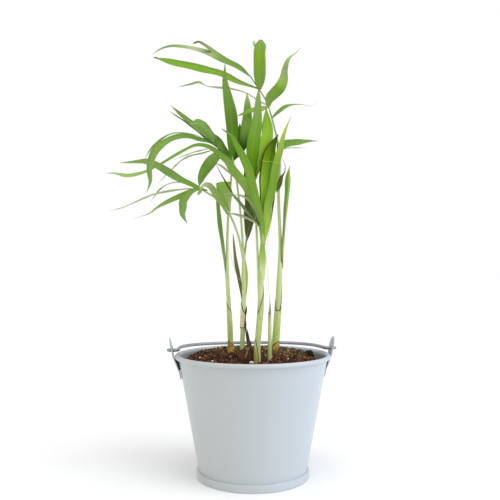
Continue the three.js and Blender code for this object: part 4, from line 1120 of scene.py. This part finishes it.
def stalk_finish():
    """Smooth pale stalk with fine lines along it."""
    made, tree, shader, place = new_finish("stalk_green")
    strip = new(tree, "ShaderNodeCombineXYZ", {0: times(tree, stored(tree, "lane"), 26.0),
                1: times(tree, stored(tree, "along"), 5.0)})
    lines = cloud(tree, strip, 1.0, 3, 0.6)
    colour = stored(tree, "tone", "Color")
    colour = blend(tree, ramp(tree, lines, 0.3, 0.7), tint(tree, colour, (0.84, 0.88, 0.76)),
                   tint(tree, colour, (1.06, 1.05, 1.08)))
    speck = ramp(tree, cloud(tree, place, 500, 2, 0.5), 0.7, 0.76, 0, 0.35)
    colour = blend(tree, speck, colour, srgb("8d7b45"))
    dress(tree, shader, colour, ramp(tree, lines, 0.2, 0.8, 0.34, 0.46), lines, 0.0001, 0.3)
    shader.inputs["Subsurface Weight"].default_value = 0.1
    shader.inputs["Subsurface Radius"].default_value = (0.8, 1.0, 0.4)
    shader.inputs["Subsurface Scale"].default_value = 0.001
    return made


leaflet_sweep = leaf_tree()
leaf_green = leaf_finish()
stalk_green = stalk_finish()
LEAF_STORES = {"across": "FLOAT_VECTOR", "up": "FLOAT_VECTOR", "half": "FLOAT", "along": "FLOAT",
               "fold": "FLOAT", "own": "FLOAT", "split": "FLOAT", "rim": "FLOAT", "tone": "FLOAT_COLOR"}
STALK_STORES = {"radius": "FLOAT", "along": "FLOAT", "tone": "FLOAT_COLOR"}
draw = random.Random(4)
for name, leaflets in LEAFLETS.items():
    node = "seedling_" + name
    stalks = lines_mesh([stalk_line(*stalk) for stalk in STALKS[name]], STALK_STORES)
    keep(plain_mesh(stalks, round_sweep, Sides=14, Material=stalk_green), "stalks_" + name, "leaf_green",
         stalk_green, node)
    blades = lines_mesh([leaf_line(**blade, own=draw.random()) for blade in leaflets.values()], LEAF_STORES)
    keep(plain_mesh(blades, leaflet_sweep, **{"Section Points": SECTION_POINTS, "Material": leaf_green}),
         "leaflets_" + name, "leaf_green", leaf_green, node)

# ---- Leaf bases and dry sheaths --------------------------------------------------------------
# Each leaf wraps its lower end round the stalk as a thin green sleeve with a slanting mouth, whose lip
# dries to a dark line. The first leaves are dead: short brown husks at the foot, a papery sleeve and a
# shrivelled ribbon on the middle seedling. Lips are heights every 45 degrees, from the back by the left.

SLEEVE = 0.2
HUSK = 0.3
LIP = 1.4
LEAF_BASES = {
    "left": (72, (111, 113, 115, 114, 111, 109, 107, 109), "base_low base_low base_top"),
    "front": (72, (112, 114, 118, 111, 117, 122, 127, 116), "base_dry base_dry base_dry"),
    "slim": (72, (112, 110, 110, 109, 110, 113, 117, 114),
             "base_low base_dry base_dry base_top base_top husk"),
    "right": (72, (115, 116, 117, 112, 110, 113, 128, 120), "base_lit base_lit base_lit base_top"),
}
HUSKS = {
    "left": (71, (85, 86, 87, 88, 87, 86, 85, 85), "husk_dark husk_gold husk_gold"),
    "middle": (71, (84, 84, 84, 85, 85, 86, 87, 85), "seam husk_dark husk_dark husk_dark"),
    "front": (71, (74, 84, 93, 93, 88, 76, 72, 72), "husk_green husk_green base_low"),
    "slim": (71, (80, 79, 78, 78, 79, 80, 80, 80), "seam husk_dark husk"),
    "right": (71, (83, 82, 83, 86, 88, 89, 88, 85), "husk_dark husk_dark husk_gold"),
}


def stalk_at(line, z):
    """The middle and the radius of a stalk at a height, in metres."""
    for one, two in zip(line, line[1:]):
        if two[0].z >= z:
            share = max(0, (z - one[0].z) / (two[0].z - one[0].z))
            return one[0].lerp(two[0], share), one[1] + (two[1] - one[1]) * share
    return line[-1][0], line[-1][1]


def sleeve_mesh(seedling, low, mouth, tones, clear, thick, cut=False):
    """A thin closed sleeve round a stalk. It stores its tone and how near a lip is, or its cut end."""
    line = stalk_line(*STALKS[seedling][0])
    colours = [Vector(srgb(TONES[tone])) for tone in tones.split()]
    columns, rows = 40, 26
    heights = [mouth[-1], *mouth, mouth[0], mouth[1]]

    def top_at(j):
        return between(heights, (1 + len(mouth) * (j % columns) / columns) / (len(heights) - 1))

    corners, nearness, shades = [], [], []
    for j in range(columns):
        a = math.pi / 2 + j * math.tau / columns
        outwards = CLUMP_TURN @ Vector((math.cos(a), math.sin(a), 0))
        top = top_at(j)
        slope = (top_at(j + 1) - top_at(j - 1)) / (2 * math.tau / columns * 2)
        for k in range(2 * (rows + 1)):
            rise = min(k, 2 * rows + 1 - k) / rows
            z = low + (top - low) * rise
            middle, radius = stalk_at(line, z * MM)
            taper = thick * (min(1, 4 * (1 - rise)) * 0.8 + 0.2) if k <= rows else 0
            corners.append(middle + outwards * (radius + (clear + taper) * MM))
            from_lip = (top - z) / math.hypot(1, slope)
            nearness.append(max(0, 1 - min(from_lip, z - low if cut else from_lip) / LIP))
            shades.append(between(colours, rise))
    mesh = bpy.data.meshes.new("sleeve")
    mesh.from_pydata(corners, [], quads(columns, 2 * (rows + 1)))
    mesh.attributes.new("lip", "FLOAT", "POINT").data.foreach_set("value", nearness)
    mesh.attributes.new("tone", "FLOAT_COLOR", "POINT").data.foreach_set(
        "color", [v for shade in shades for v in shade])
    work = bmesh.new()
    work.from_mesh(mesh)
    return outward(work, 60)


def sleeve_finish(name, rough, streak):
    """A sleeve's own tone with lines along it, dark at its lip."""
    made, tree, shader, place = new_finish(name)
    lines = cloud(tree, place, 800, 4, 0.65, (1, 1, 0.1))
    colour = stored(tree, "tone", "Color")
    colour = blend(tree, ramp(tree, lines, 0.3, 0.7),
                   tint(tree, colour, (1 - streak, 1 - streak, 1 - 1.2 * streak)),
                   tint(tree, colour, (1 + streak, 1 + streak, 1 + streak)))
    blotch = ramp(tree, cloud(tree, place, 420, 3, 0.6), 0.45, 0.62, 0, 1.9 * streak)
    colour = blend(tree, blotch, colour, tint(tree, colour, (0.42, 0.3, 0.26)))
    torn = times(tree, cloud(tree, place, 500, 3), 0.5, stored(tree, "lip"))
    colour = blend(tree, ramp(tree, torn, 0.6, 1.0, 0, 0.9), colour, srgb("3a2c16"))
    dress(tree, shader, colour, rough, lines, 0.0002, 2 * streak)
    shader.inputs["Subsurface Weight"].default_value = 0.08
    shader.inputs["Subsurface Scale"].default_value = 0.001
    return made


leaf_base = sleeve_finish("leaf_base", 0.42, 0.08)
dry_sheath = sleeve_finish("dry_sheath", 0.75, 0.4)
for name, sizes in LEAF_BASES.items():
    keep(sleeve_mesh(name, *sizes, clear=0.08, thick=SLEEVE), "leaf_base_" + name, "leaf_green", leaf_base)
for name, sizes in HUSKS.items():
    keep(sleeve_mesh(name, *sizes, clear=0.35, thick=HUSK), "sheath_" + name, "dry_sheath",
         leaf_base if name == "front" else dry_sheath, "dry_sheath_" + name)
papery = sleeve_finish("papery", 0.7, 0.16)
paper = sleeve_mesh("middle", 99, (112, 115, 117, 115, 111, 109, 109, 110), "paper paper",
                    clear=0.1, thick=SLEEVE, cut=True)
keep(paper, "papery_sleeve", "dry_sheath", papery, "dry_sheath_middle")
RIBBONS = [
    leaf("seam husk_dark seam husk_dark seam", 2.6, [
        (-2, -13, 77), (-2, -12.5, 82), (-3, -12.5, 88), (-4, -12.4, 93), (-5, -12.3, 100),
        (-5, -12.4, 107), (-4, -12.4, 114)], ((10, 0, 0), (9, -3, 0)),
        (1, 0.9, 0.9, 0.6, 0.5, 0.35, 0.55, 0.3, 0.5, 0.1), 0.5),
    leaf("seam seam husk_dark seam", 2, [
        (2, -14, 76), (0, -13, 80), (-1, -12.8, 86), (-3, -12.7, 93), (-4, -12.6, 99)],
        ((10, 0, 0), (9, -3, 0)), (1, 0.5, 0.9, 0.5, 0.7, 0.1), 0.5),
    leaf("husk_dark husk seam", 1.5, [(-5, -13, 76), (-5, -12.6, 80), (-3, -12.8, 85), (-1, -12.8, 90)],
         ((10, 0, 0),), (1, 0.5, 0.8, 0.3), 0.5),
]
ribbons = lines_mesh([leaf_line(**ribbon, own=0.3) for ribbon in RIBBONS], LEAF_STORES)
withered = plain_mesh(ribbons, leaflet_sweep, **{
    "Section Points": SECTION_POINTS, "Ripple": 0.5, "Material": dry_sheath})
keep(withered, "withered_ribbon", "dry_sheath", dry_sheath, "dry_sheath_middle")
THREADS = [
    ("stem stem", [(-9, -12, 131, 0.15), (-11, -12, 135, 0.13), (-16, -13, 152, 0.1)]),
    ("stem_green stem_green", [(6, -30, 207, 0.11), (13, -30, 206, 0.12), (18, -28, 206, 0.09)]),
]
threads = lines_mesh([stalk_line(*thread) for thread in THREADS], STALK_STORES)
keep(plain_mesh(threads, round_sweep, Sides=8, Material=stalk_green), "dry_threads", "leaf_green",
     stalk_green)
